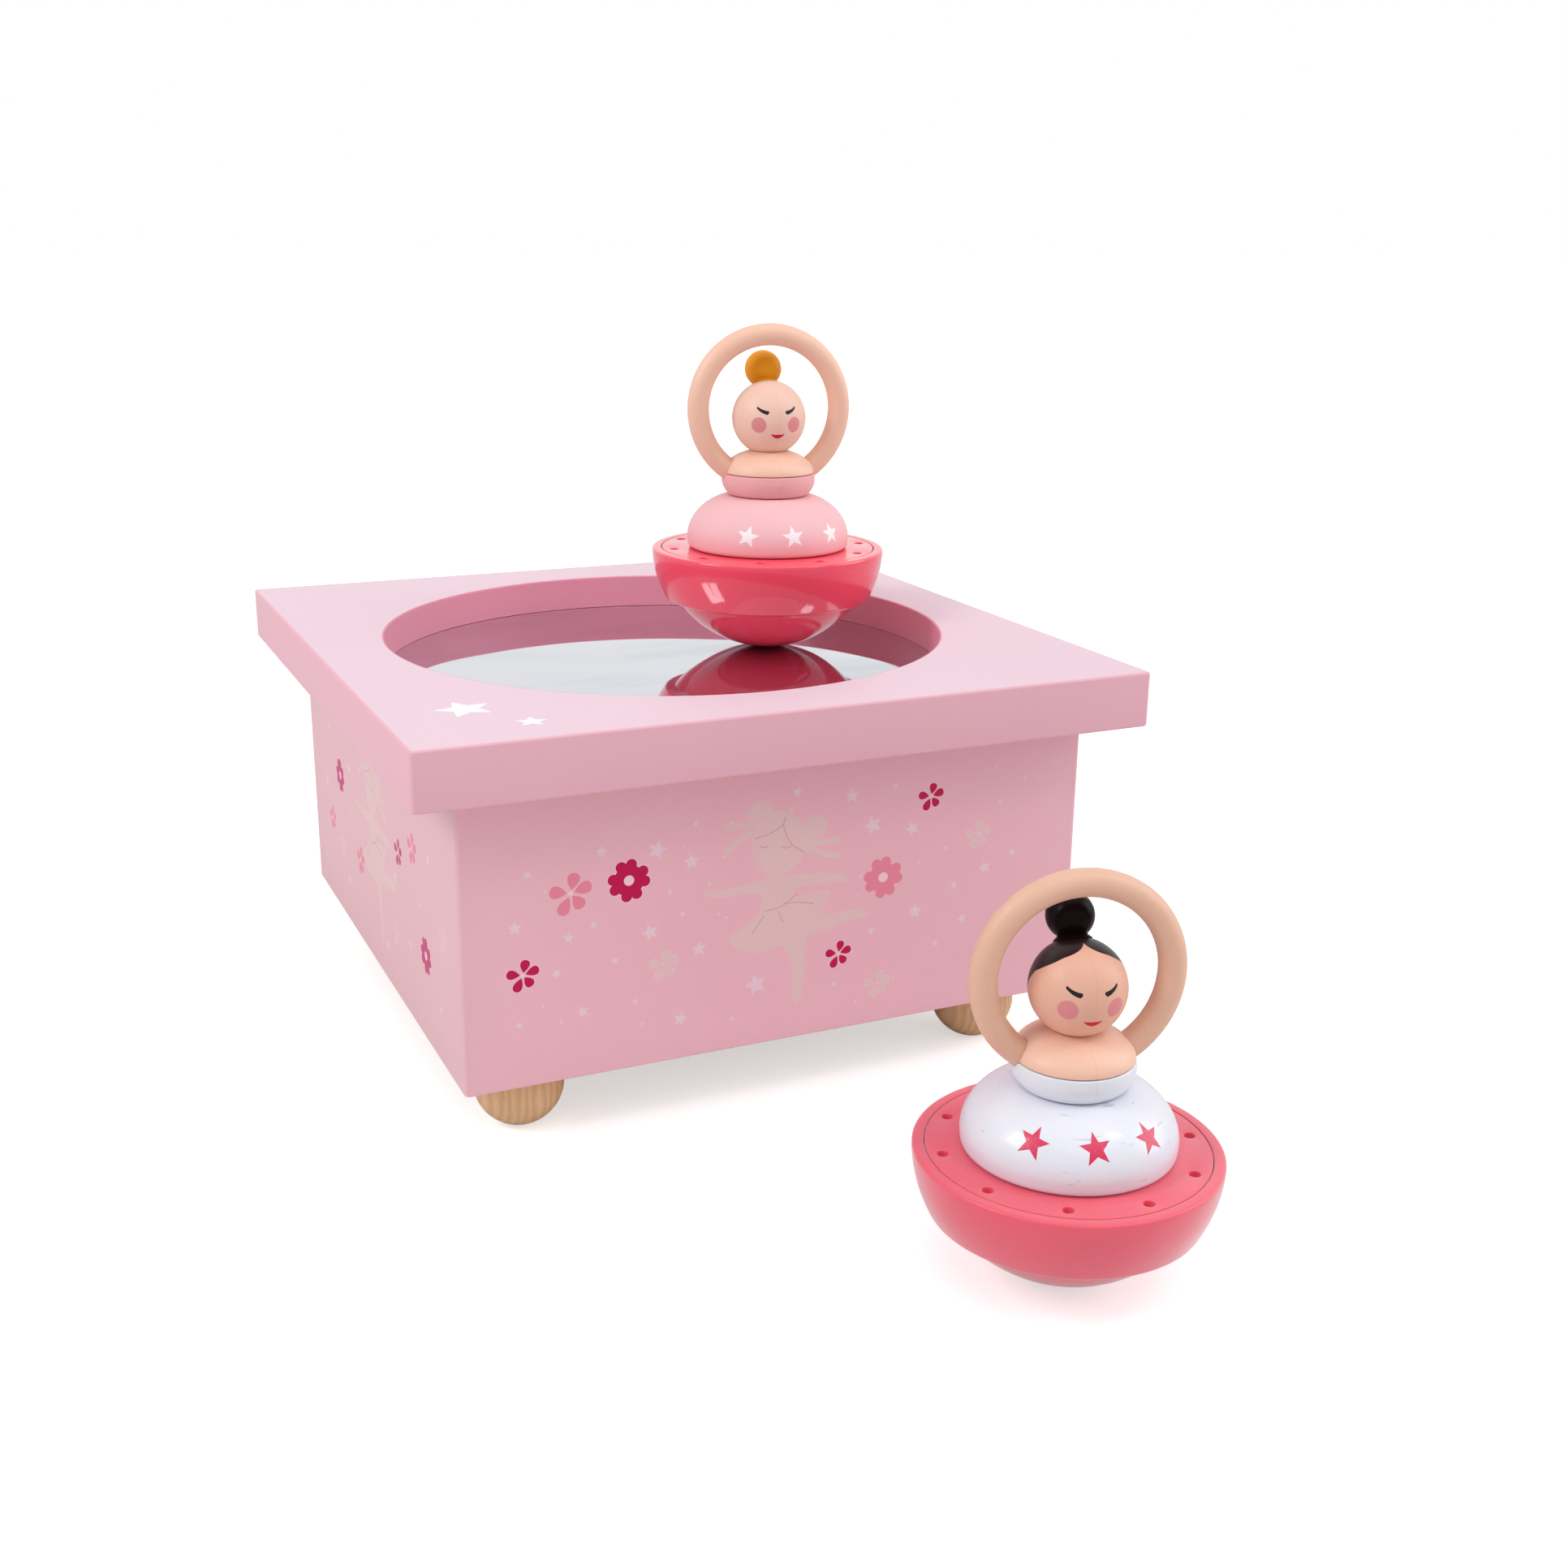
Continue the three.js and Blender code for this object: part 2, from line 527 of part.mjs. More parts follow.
function cylinderShaft() {
  const start = rotorPitch - gear.face / 2 - free - bridge.armThickness - 0.4;
  const r = drumCylinder.shaftRadius;
  const shaft = alongX(rod(r, start, framePlateX + frameWall - 0.1));
  const pinion = alongX(toothedWheel(pinionTeeth, gear.module, gear.face, Math.PI / 2));
  const wheel = alongX(toothedWheel(train.wheelTeeth, train.module, train.face));
  return join(solid(shaft), solid(moved(pinion, rotorPitch - gear.face / 2, 0, 0)),
    solid(moved(wheel, trainStart, 0, 0)));
}

// The cylinder is bored for its shaft, and each track carries a few pins set by a fixed rhythm.
function pinnedCylinder() {
  const bore = holeRadius(drumCylinder.shaftRadius, running, facets.body);
  const shell = turned([
    [bore, 0], [drumCylinder.radius, 0],
    [drumCylinder.radius, drumCylinder.length], [bore, drumCylinder.length],
  ], facets.body, true);
  const pitch = combWidth / drumCylinder.tracks;
  const { pinSize: size, beats } = drumCylinder;
  const pins = [];
  for (let track = 0; track < drumCylinder.tracks; track++) {
    const z = 0.5 + (track + 0.5) * pitch;
    for (const beat of [track * 5 % beats, (track * 7 + 11) % beats]) {
      const pin = block([drumCylinder.radius - 0.5, -size / 2, z - size / 2],
        [drumCylinder.radius + drumCylinder.pinHeight, size / 2, z + size / 2]);
      pins.push(solid(pin.rotateZ(2 * Math.PI * (beat + 0.5) / beats)));
    }
  }
  return join(solid(shell), ...pins);
}

function rotorGear() {
  const outer = rotorPitch + gear.face / 2 + 0.3;
  const r = drumCylinder.shaftRadius;
  const top = armBottom + arm.thickness - rotorFace;
  const body = turned([[0, 0], [outer, 0], [outer, discThickness], [r, discThickness], [r, top], [0, top]]);
  const teeth = crownTeeth(rotorTeeth, outer - gear.face - 0.6, outer)
    .map((tooth) => tooth.rotate([180, 0, 0]));
  return join(solid(body), ...teeth);
}

function magnetArm() {
  const reach = magnetCircle + arm.width / 2;
  const bar = new THREE.Shape();
  bar.moveTo(-magnetCircle, -arm.width / 2);
  bar.lineTo(magnetCircle, -arm.width / 2);
  bar.absarc(magnetCircle, 0, reach - magnetCircle, -Math.PI / 2, Math.PI / 2, false);
  bar.lineTo(-magnetCircle, arm.width / 2);
  bar.absarc(-magnetCircle, 0, reach - magnetCircle, Math.PI / 2, 1.5 * Math.PI, false);
  const hub = rod(arm.hubRadius, bridgeTop + free - armBottom, 1);
  const bore = hole(drumCylinder.shaftRadius, glue, bridgeTop - armBottom - 1, arm.thickness + 1);
  const pockets = [-1, 1].map((side) =>
    solid(moved(hole(rotorMagnet.radius, glue, magnetBottom - glue - armBottom, arm.thickness + 1),
      side * magnetCircle, 0, 0)));
  return cut(join(solid(raised(bar, arm.thickness)), solid(hub)), solid(bore), ...pockets);
}

function governorArbor() {
  const phase = Math.PI + Math.PI / train.pinionTeeth;
  const pinion = alongX(toothedWheel(train.pinionTeeth, train.module, train.face, phase));
  const wheelPhase = Math.PI / train.wormTeeth;
  const wheel = alongX(toothedWheel(train.wormTeeth, train.wormModule, train.face, wheelPhase));
  const r = worm.spindleRadius + 0.2;
  const arbor = alongX(rod(r, trainStart, farPlateX + frameWall - 0.1));
  return join(solid(arbor), solid(moved(pinion, trainStart, 0, 0)), solid(moved(wheel, wormWheelX, 0, 0)));
}

// The worm: a lobed section with one lobe for each start, twisted evenly along its length.
function wormSpindle() {
  const lead = Math.PI * train.wormModule * train.wormStarts;
  const points = [];
  const sides = 12;
  for (let k = 0; k < sides; k++) {
    const angle = 2 * Math.PI * k / sides;
    const lobe = Math.max(0, Math.cos(train.wormStarts * angle)) ** 2;
    const radius = worm.coreRadius + (worm.tipRadius - worm.coreRadius) * lobe;
    points.push([radius * Math.cos(angle), radius * Math.sin(angle)]);
  }
  const threadLength = worm.length * 0.62;
  const thread = new THREE.ExtrudeGeometry(outline(points), {
    depth: threadLength, steps: 14, bevelEnabled: false,
  });
  const at = moved(thread, 0, 0, -threadLength / 2).attributes.position;
  for (let i = 0; i < at.count; i++) {
    const turn = 2 * Math.PI * at.getZ(i) / lead + Math.PI / 2;
    const [x, y] = [at.getX(i), at.getY(i)];
    at.setXY(i, x * Math.cos(turn) - y * Math.sin(turn), x * Math.sin(turn) + y * Math.cos(turn));
  }
  const low = bedTop + glue + frameWall * 0.4 + 0.1 - shaftHeight;
  const high = worm.length / 2 + 0.2 + frameWall + 1.2 + fan.height;
  return join(solid(thread), solid(rod(worm.spindleRadius, low, high, facets.tiny)));
}

function fanPaddle() {
  const blade = block([-fan.span / 2, -fan.thickness / 2, 0], [fan.span / 2, fan.thickness / 2, fan.height]);
  const hub = rod(worm.spindleRadius + 0.9, 0, fan.height, facets.tiny);
  const bore = hole(worm.spindleRadius, running, -1, fan.height + 1, facets.tiny);
  return cut(join(solid(blade), solid(hub)), solid(bore));
}

function buildTurningMovement(movement) {
  const barrelAxis = group(movement, barrelX, 0, 0);
  add(barrelAxis, 'spring_barrel', springBarrel(), finishes.steel).position.z = barrelBottom;
  add(barrelAxis, 'mainspring', mainspring(), finishes.steel).position.z = barrelBottom + 1.6;
  add(barrelAxis, 'winding_arbor', windingArbor(), finishes.steel).position.z = key.tableGap + 1;
  add(barrelAxis, 'winding_key', windingKey(), finishes.steel).position.z = key.tableGap;
  const cylinderAxis = group(movement, 0, 0, shaftHeight);
  add(cylinderAxis, 'cylinder_shaft', cylinderShaft(), finishes.steel);
  add(cylinderAxis, 'pinned_cylinder', alongX(geometryOf(pinnedCylinder())), finishes.brass)
    .position.x = cylinderStart;
  add(movement, 'rotor_gear', rotorGear(), finishes.nylon).position.z = rotorFace;
  const armGroup = group(movement, 0, 0, armBottom);
  armGroup.rotation.z = armAngle;
  add(armGroup, 'magnet_arm', magnetArm(), finishes.nylon);
  [['near', 1], ['far', -1]].forEach(([name, side]) => {
    add(armGroup, `rotor_magnet_${name}`, rod(rotorMagnet.radius, 0, rotorMagnet.height), finishes.magnet)
      .position.set(side * magnetCircle, 0, magnetBottom - armBottom);
  });
  add(cylinderAxis, 'governor_arbor', governorArbor(), finishes.brass).position.y = trainDistance;
  const wormAxis = group(cylinderAxis, wormWheelX + train.face / 2, wormY, 0);
  add(wormAxis, 'governor_worm', wormSpindle(), finishes.steel);
  add(wormAxis, 'governor_fan', fanPaddle(), finishes.nylon)
    .position.z = worm.length / 2 + 0.2 + frameWall + 0.6;
}

// ---------- the dancers ----------
// Heights are measured up from the point that a dancer stands on.
const rimZ = doll.rimHeight;
const skirtZ = rimZ + glue;
const bodiceZ = skirtZ + doll.skirtHeight + glue;
const torsoZ = bodiceZ + doll.bodiceHeight + glue;
const headZ = torsoZ + doll.torsoHeight - doll.headSink + doll.headRadius;
const armsZ = headZ + doll.armsRise;
const armsTubeCut = doll.armsTube + doll.armsGap;

// Points of a sphere's lower cap, from its pole out to a given radius.
function capPoints(sphereRadius, toRadius, steps) {
  const end = Math.asin(toRadius / sphereRadius);
  return Array.from({ length: steps + 1 }, (_, k) => {
    const angle = end * k / steps;
    return [sphereRadius * Math.sin(angle), doll.capRadius - sphereRadius * Math.cos(angle)];
  });
}

// The bowl: a ball's cap, a small ledge, and a band that swells up to the rim. It is hollow.
function bowl() {
  const outer = capPoints(doll.capRadius, doll.ledgeRadius, 5);
  const ledgeZ = outer.at(-1)[1];
  const band = [];
  for (let k = 0; k <= 3; k++) {
    const t = k / 3;
    const swell = doll.bandSwell * 4 * t * (1 - t);
    const radius = doll.bandFootRadius + (doll.rimRadius - doll.bandFootRadius) * t + swell;
    band.push([radius, ledgeZ + 0.1 + (rimZ - 0.5 - ledgeZ) * t]);
  }
  const rimInner = doll.rimRadius - doll.rimWidth;
  const seatZ = rimZ - doll.lidThickness - glue;
  const inner = capPoints(doll.capRadius - doll.shell, doll.ledgeRadius - 1.4, 4).reverse();
  return turned([
    ...outer, ...band, [doll.rimRadius - 0.35, rimZ], [rimInner, rimZ], [rimInner, seatZ],
    [rimInner - 1.4, seatZ], [doll.bandFootRadius - 0.8, ledgeZ + 3.6], ...inner,
  ]);
}

function lidDisc(facing) {
  const radius = doll.rimRadius - doll.rimWidth - doll.lidGap;
  const disc = solid(turned([
    [0, -doll.lidThickness], [radius, -doll.lidThickness], [radius, 0], [0, 0],
  ]));
  const holes = [];
  for (let k = 0; k < doll.holeCount; k++) {
    const angle = facing + 2 * Math.PI * (k + 0.5) / doll.holeCount;
    const blind = rod(doll.holeRadius, -doll.holeDepth, 1, 6);
    holes.push(solid(moved(blind, doll.holeCircle * Math.cos(angle), doll.holeCircle * Math.sin(angle), 0)));
  }
  return cut(disc, ...holes);
}

function skirt() {
  const shoulder = doll.skirtShoulder;
  const profile = [[0, 0], [doll.skirtRadius - 0.6, 0], [doll.skirtRadius - 0.05, 0.6]];
  for (let k = 0; k <= 5; k++) {
    const angle = Math.PI / 2 * k / 5;
    const radius = doll.waistRadius + (doll.skirtRadius - doll.waistRadius) * Math.cos(angle) ** 1.3;
    profile.push([radius, shoulder + (doll.skirtHeight - shoulder) * Math.sin(angle)]);
  }
  profile.push([0, doll.skirtHeight]);
  const socketFloor = doll.skirtHeight - doll.tenonLength - glue;
  const socket = hole(doll.tenonRadius, glue, socketFloor, doll.skirtHeight + 1, facets.small);
  return cut(solid(turned(profile)), solid(socket));
}

const armsRing = (tube) => new THREE.TorusGeometry(doll.armsRadius, tube, 6, 28).rotateX(Math.PI / 2);
const ball = (radius, across = 16, up = 10) =>
  new THREE.SphereGeometry(radius, across, up).rotateX(Math.PI / 2);

function bodice() {
  const height = doll.bodiceHeight;
  const bulge = doll.bodiceRadius;
  const body = turned([
    [0, -doll.tenonLength], [doll.tenonRadius, -doll.tenonLength], [doll.tenonRadius, 0],
    [doll.waistRadius - 0.3, 0], [bulge - 0.4, height * 0.33], [bulge, height * 0.7],
    [bulge - 0.1, height], [0, height],
  ]);
  return cut(solid(body), solid(moved(armsRing(armsTubeCut), 0, 0, armsZ - bodiceZ)));
}

function torso() {
  const profile = [[0, 0], [doll.torsoRadius, 0]];
  for (let k = 1; k <= 3; k++) {
    const angle = Math.PI / 2 * k / 4;
    profile.push([doll.torsoRadius * Math.cos(angle), doll.torsoHeight * Math.sin(angle)]);
  }
  profile.push([0, doll.torsoHeight]);
  return cut(solid(turned(profile)), solid(moved(armsRing(armsTubeCut), 0, 0, armsZ - torsoZ)),
    solid(moved(ball(doll.headRadius + glue), 0, 0, headZ - torsoZ)));
}

function bun() {
  const seat = moved(ball(doll.headRadius + glue), doll.bunBack, 0, -doll.bunRise);
  return cut(solid(ball(doll.bunRadius, 12, 8)), solid(seat));
}

function buildDancer(name, place, height, hair, paint) {
  const facing = THREE.MathUtils.degToRad(place.facing);
  const dancer = group(root, place.x, place.y, height + standGap);
  const node = (piece) => `${name}_${piece}`;
  const magnetZ = doll.shell + doll.rockGap + 0.45;
  const weightZ = magnetZ + 2.1;
  const magnet = rod(doll.magnetRadius, 0, doll.magnetHeight);
  add(dancer, node('magnet'), magnet, finishes.magnet).position.z = magnetZ;
  add(dancer, node('weight'), turned([
    [doll.weightInner, 0], [doll.weightRadius, 0], [doll.weightRadius, doll.weightHeight],
    [doll.weightInner, doll.weightHeight],
  ], facets.shaft, true), finishes.steel).position.z = weightZ;
  add(dancer, node('bowl'), bowl(), finishes.coral);
  add(dancer, node('bowl_lid'), lidDisc(facing), finishes.coral).position.z = rimZ;
  const figure = group(dancer);
  figure.rotation.z = facing;
  add(figure, node('skirt'), skirt(), paint).position.z = skirtZ;
  add(figure, node('bodice'), bodiceTurned(), paint).position.z = bodiceZ;
  add(figure, node('torso'), torsoTurned(), finishes.skin).position.z = torsoZ;
  add(figure, node('head'), ball(doll.headRadius), finishes.skin).position.z = headZ;
  add(figure, node('bun'), bun(), hair).position.set(-doll.bunBack, 0, headZ + doll.bunRise);
  const arms = add(figure, node('arms'), armsRing(doll.armsTube), finishes.skin);
  arms.position.z = armsZ;
  arms.rotation.z = Math.PI / 2;
}

// The figure faces +X in its own group, so its arms and their slots are turned a quarter.
const quarter = (body) => body.rotate([0, 0, 90]);
const bodiceTurned = () => quarter(bodice());
const torsoTurned = () => quarter(torso());

buildCase();
const movement = group(root);
buildFixedMovement(movement);
buildTurningMovement(movement);
buildDancer('dancer_a', onMirror, mirrorTop, finishes.yellowHair, finishes.rosePaint);
buildDancer('dancer_b', onTable, 0, finishes.darkHair, finishes.whitePaint);

// The origin is under the middle of the whole set, at table height.
const frontEdge = onTable.y - doll.rimRadius;
root.position.y = -(half + frontEdge) / 2;

export default root;
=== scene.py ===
import math

import bmesh
import bpy
import numpy as np
from mathutils import Matrix, Vector, geometry


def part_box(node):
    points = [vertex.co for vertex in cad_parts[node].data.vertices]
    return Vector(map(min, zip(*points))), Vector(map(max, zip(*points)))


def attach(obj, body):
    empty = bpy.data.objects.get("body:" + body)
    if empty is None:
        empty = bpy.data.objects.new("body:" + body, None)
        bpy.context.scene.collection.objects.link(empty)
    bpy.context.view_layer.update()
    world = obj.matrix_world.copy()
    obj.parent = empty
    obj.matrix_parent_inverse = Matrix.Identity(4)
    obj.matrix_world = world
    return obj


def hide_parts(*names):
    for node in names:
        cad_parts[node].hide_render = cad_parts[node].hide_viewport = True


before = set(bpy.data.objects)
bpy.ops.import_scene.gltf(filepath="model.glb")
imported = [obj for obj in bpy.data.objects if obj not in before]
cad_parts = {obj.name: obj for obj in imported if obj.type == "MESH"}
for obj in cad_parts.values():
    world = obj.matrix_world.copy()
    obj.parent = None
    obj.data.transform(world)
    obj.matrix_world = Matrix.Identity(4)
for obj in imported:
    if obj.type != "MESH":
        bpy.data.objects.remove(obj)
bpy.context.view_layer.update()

# A wind-up music box: a printed board case with a mirror let into its lid, and two round-bottomed
# dancers. Shapes are worked out in millimetres and written to the meshes in metres.
MM = 0.001


def tint(code):
    """Linear red, green, blue and alpha of a six-figure colour code."""
    part = np.array([int(code[i:i + 2], 16) for i in (0, 2, 4)]) / 255
    linear = np.where(part <= 0.04045, part / 12.92, ((part + 0.055) / 1.055) ** 2.4)
    return (*linear.tolist(), 1.0)


# ---------- shader maths ----------
class Value:
    """A socket's number. Each operator it meets adds a Math node, so shader maths reads as a formula."""

    def __init__(self, nodes, socket):
        self.nodes, self.socket = nodes, socket

    def math(self, operation, *inputs):
        return self.nodes.node("ShaderNodeMath", {"operation": operation}, dict(enumerate(inputs)))

    def __add__(self, other):
        return self.math("ADD", self, other)

    def __radd__(self, other):
        return self.math("ADD", other, self)

    def __sub__(self, other):
        return self.math("SUBTRACT", self, other)

    def __rsub__(self, other):
        return self.math("SUBTRACT", other, self)

    def __mul__(self, other):
        return self.math("MULTIPLY", self, other)

    def __rmul__(self, other):
        return self.math("MULTIPLY", other, self)

    def __truediv__(self, other):
        return self.math("DIVIDE", self, other)

    def __abs__(self):
        return self.math("ABSOLUTE", self)

    def unit(self):
        """Held between 0 and 1."""
        return self.nodes.node("ShaderNodeClamp", {}, {"Value": self})


class Nodes:
    """A node tree, and the one way that nodes are added to it."""

    def __init__(self, tree):
        self.tree = tree

    def node(self, kind, settings=(), inputs=(), out=None):
        """Adds a node: its settings first, then its sockets' values or links. Gives the output."""
        made = self.tree.nodes.new(kind)
        for key, value in dict(settings).items():
            if key == "stops":
                while len(made.color_ramp.elements) < len(value):
                    made.color_ramp.elements.new(0.5)
                for stop, (place, colour) in zip(made.color_ramp.elements, value):
                    stop.position, stop.color = place, colour
            else:
                setattr(made, key, value)
        for key, value in dict(inputs).items():
            socket = made.inputs[key] if isinstance(key, int) else next(
                s for s in made.inputs if s.name == key and s.enabled)
            if isinstance(value, Value):
                self.tree.links.new(value.socket, socket)
            else:
                socket.default_value = value
        return Value(self, next(s for s in made.outputs if s.enabled and out in (None, s.name)))

    def function(self, operation, value):
        """A Math node of one input."""
        return self.node("ShaderNodeMath", {"operation": operation}, {0: value})


class Finish(Nodes):
    """A procedural material: one Principled shader with its even values, and the nodes that feed it."""

    def __init__(self, name, **even):
        self.name = name
        self.material = bpy.data.materials.new(name)
        self.material.use_nodes = True
        super().__init__(self.material.node_tree)
        self.shader = self.tree.nodes["Principled BSDF"]
        for key, value in even.items():
            self.shader.inputs[key.replace("_", " ")].default_value = value

    def feed(self, **inputs):
        for key, value in inputs.items():
            self.tree.links.new(value.socket, self.shader.inputs[key.replace("_", " ")])

    def fed(self, key):
        """What already feeds a socket of the shader."""
        return Value(self, self.shader.inputs[key].links[0].from_socket)

    def place(self):
        return self.node("ShaderNodeTexCoord", out="Object")

    def noise(self, scale, detail=2.0, vector=None):
        return self.node("ShaderNodeTexNoise", {}, {
            "Vector": vector or self.place(), "Scale": scale, "Detail": detail}, out="Fac")

    def mix(self, factor, a, b, blend="MIX"):
        return self.node("ShaderNodeMix", {"data_type": "RGBA", "blend_type": blend},
                         {"Factor": factor, "A": a, "B": b}, out="Result")

    def stretched(self, scale, turn=(0, 0, 0)):
        return self.node("ShaderNodeMapping", {}, {
            "Vector": self.place(), "Rotation": turn, "Scale": scale}, out="Vector")

    def bump(self, height, depth):
        """Feeds the shader's normal from a height field whose full range is depth millimetres."""
        self.feed(Normal=self.node("ShaderNodeBump", {}, {
            "Strength": 1.0, "Distance": depth * MM, "Height": height}, out="Normal"))

    def map_parts(self):
        """The piece's own map: turns round the upright axis, and millimetres along its profile."""
        turns = self.node("ShaderNodeSeparateXYZ", {}, {"Vector": self.node("ShaderNodeUVMap")}, out="X")
        return turns, Value(self, turns.socket.node.outputs["Y"])


# ---------- finishes ----------
WHITE = tint("ffffff")


def painted_board(name, roughness, speckle=0.5):
    """Sprayed and printed board: the piece's ink with a soft mottle, fine orange-peel, satin lacquer."""
    f = Finish(name, Specular_IOR_Level=0.25)
    ink = f.node("ShaderNodeAttribute", {"attribute_name": "ink"}, out="Color")
    cloud = f.noise(35, 3.0)
    grain = f.noise(2600, 1.0)
    shade = f.mix((cloud * 0.6 + grain * 0.55 - 0.08).unit(), tint("f3e9ec"), WHITE)
    f.feed(Base_Color=f.mix(speckle, ink, f.mix(1.0, ink, shade, "MULTIPLY")),
           Roughness=(roughness + (cloud - 0.5) * 0.12 + (grain - 0.5) * 0.1).unit())
    f.bump(grain * 0.7 + f.noise(900, 2.0) * 0.5, 0.012)
    return f


def mirror_glass():
    """Silvered sheet: bright metal with slow ripples, and soft blotches that are darker and rougher:
    partly wiped smears, partly a painted reflection of the surroundings.
    """
    f = Finish("mirror_silver", Metallic=1.0)
    blotch_noise = f.noise(1.0, 4.0, f.stretched((26, 70, 10), turn=(0, 0, 0.5)))
    smear_and_reflection = ((blotch_noise - 0.5) * 4.0).unit()
    # Where the blotches lie the silver turns a darker grey: painted reflection. The smears themselves
    # show in the roughness.
    f.feed(Base_Color=f.mix(smear_and_reflection, tint("d3d6dc"), tint("bfc4cb")),
           Roughness=(0.012 + smear_and_reflection * 0.05).unit())
    f.bump(f.noise(26, 1.0), 0.3)
    return f


def moulded(name, colour, deep, roughness, peel=0.006, coat=0.0, scatter=0.12, grain=1400, sheen=0.0,
            gloss=0.5):
    """Moulded or sprayed plastic: slow colour drift, a little light under the skin, fine peel, gloss."""
    f = Finish(name, Subsurface_Weight=scatter, Subsurface_Scale=0.0012, Coat_Weight=coat,
               Coat_Roughness=0.05, Sheen_Weight=sheen, Sheen_Roughness=0.4, Specular_IOR_Level=gloss)
    f.shader.inputs["Subsurface Radius"].default_value = (1.0, 0.35, 0.25)
    drift = f.noise(90, 3.0)
    fine = f.noise(grain, 2.0)
    f.feed(Base_Color=f.mix((drift * 0.8 + fine * 0.35 - 0.12).unit(), tint(colour), tint(deep)),
           Roughness=(roughness + (drift - 0.5) * 0.12 + (fine - 0.5) * 0.08).unit())
    f.bump(fine, peel)
    return f


def seamed(f, shade, at=3.0):
    """A fine moulding line down the front, at degrees round from the middle, that fades in and out."""
    turns, _ = f.map_parts()
    line = (1 - abs((turns - 0.5) * 360 - at) * 1.1).unit() * f.noise(700, 2.0)
    f.feed(Base_Color=f.mix(line * 0.5, f.fed("Base Color"), tint(shade)))
    return f


def metal(name, colour, roughness, stretch=(400, 400, 3000), dull="8a8a8a"):
    """Machined metal: fine drawn lines in one direction that roughen it and shift its tone."""
    f = Finish(name, Metallic=1.0)
    lines = f.noise(1.0, 3.0, f.stretched(stretch))
    f.feed(Base_Color=f.mix((lines * 0.5 + f.noise(150, 2.0) * 0.3).unit(), tint(colour), tint(dull)),
           Roughness=(roughness + (lines - 0.5) * 0.25).unit())
    f.bump(lines, 0.01)
    return f


def beech():
    """Turned beech: pale growth bands across the turning and short dark pores along the grain."""
    f = Finish("turned_beech", Coat_Weight=0.15, Coat_Roughness=0.35)
    lean = (0.15, 0.1, 0.35)
    bands = f.node("ShaderNodeTexWave",
                   {"wave_type": "BANDS", "bands_direction": "X", "wave_profile": "SIN"},
                   {"Vector": f.stretched((260, 40, 60), turn=lean), "Scale": 1.0, "Distortion": 5.0,
                    "Detail": 3.0, "Detail Scale": 1.6}, out="Fac")
    pores = ((f.noise(1.0, 2.0, f.stretched((2400, 260, 2400), turn=lean)) - 0.6) * 6.0).unit()
    wood = f.mix(bands, tint("e8c094"), tint("dcae7c"))
    f.feed(Base_Color=f.mix(pores * 0.35, wood, tint("a37848")), Roughness=(0.5 + pores * 0.2).unit())
    f.bump(1 - pores, 0.02)
    return f


def raw_board():
    """Cut fibreboard: brown fibres pressed flat, quite matt."""
    f = Finish("raw_board", Roughness=0.85)
    fibre = f.noise(1.0, 4.0, f.stretched((900, 300, 1500)))
    f.feed(Base_Color=f.mix(fibre, tint("a98a66"), tint("c9ab83")))
    f.bump(fibre, 0.05)
    return f


def star_mask(f, across, up, size, turn=0.0):
    """A five-pointed star: the plane is folded into tenths, and one edge from tip to notch bounds it."""
    tip, notch, tenth = size / 2, size * 0.21, math.pi / 5
    angle = f.node("ShaderNodeMath", {"operation": "ARCTAN2"}, {0: across, 1: up}) + turn
    share = f.function("FRACT", angle / (2 * tenth) + 10.5)
    fold = abs(share - 0.5) * (2 * tenth)
    reach = f.function("SQRT", across * across + up * up)
    x = reach * f.function("COSINE", fold)
    y = reach * f.function("SINE", fold)
    edge = np.array([notch * math.cos(tenth) - tip, notch * math.sin(tenth)])
    normal = np.array([edge[1], -edge[0]]) / np.hypot(*edge)
    inside = (tip - x) * float(normal[0]) - y * float(normal[1])
    return (inside * 25 + 0.5).unit()


def starred_skirt(name, colour, deep, ink, roughness, stars, middle, rise, size, coat, scuffs):
    """Skirt paint with three printed stars across the front, each tilted a little its own way."""
    f = moulded(name, colour, deep, roughness, peel=0.01, coat=coat, scatter=0.05, grain=2600)
    turns, along = f.map_parts()
    spot = (turns - 0.5 - middle / 360) * float(stars) + 50.5
    number = f.function("FLOOR", spot)
    tilt = f.function("SINE", number * 2.4) * 0.2
    girth = 2 * math.pi * 13.9  # round the skirt where the stars are
    across = (f.function("FRACT", spot) - 0.5) * (girth / stars)
    shown = f.node("ShaderNodeMath", {"operation": "LESS_THAN"}, {0: abs(number - 50), 1: 1.5})
    mask = star_mask(f, across, along - rise, size, tilt) * shown
    paint = f.fed("Base Color")
    if scuffs:
        streak = ((f.noise(1.0, 2.0, f.stretched((260, 260, 3400))) - 0.69) * 14).unit()
        paint = f.mix(streak * 0.55, paint, tint("a9a3ad"))
    worn = (f.noise(2200, 2.0) * 0.25 + 0.87).unit()
    f.feed(Base_Color=f.mix(mask * worn, paint, tint(ink)))
    return f


SEAM = "c98a72"  # the moulding line on skin
HEAD_RADIUS = 6.5
DEGREE = HEAD_RADIUS * math.pi / 180  # millimetres on the head for one degree


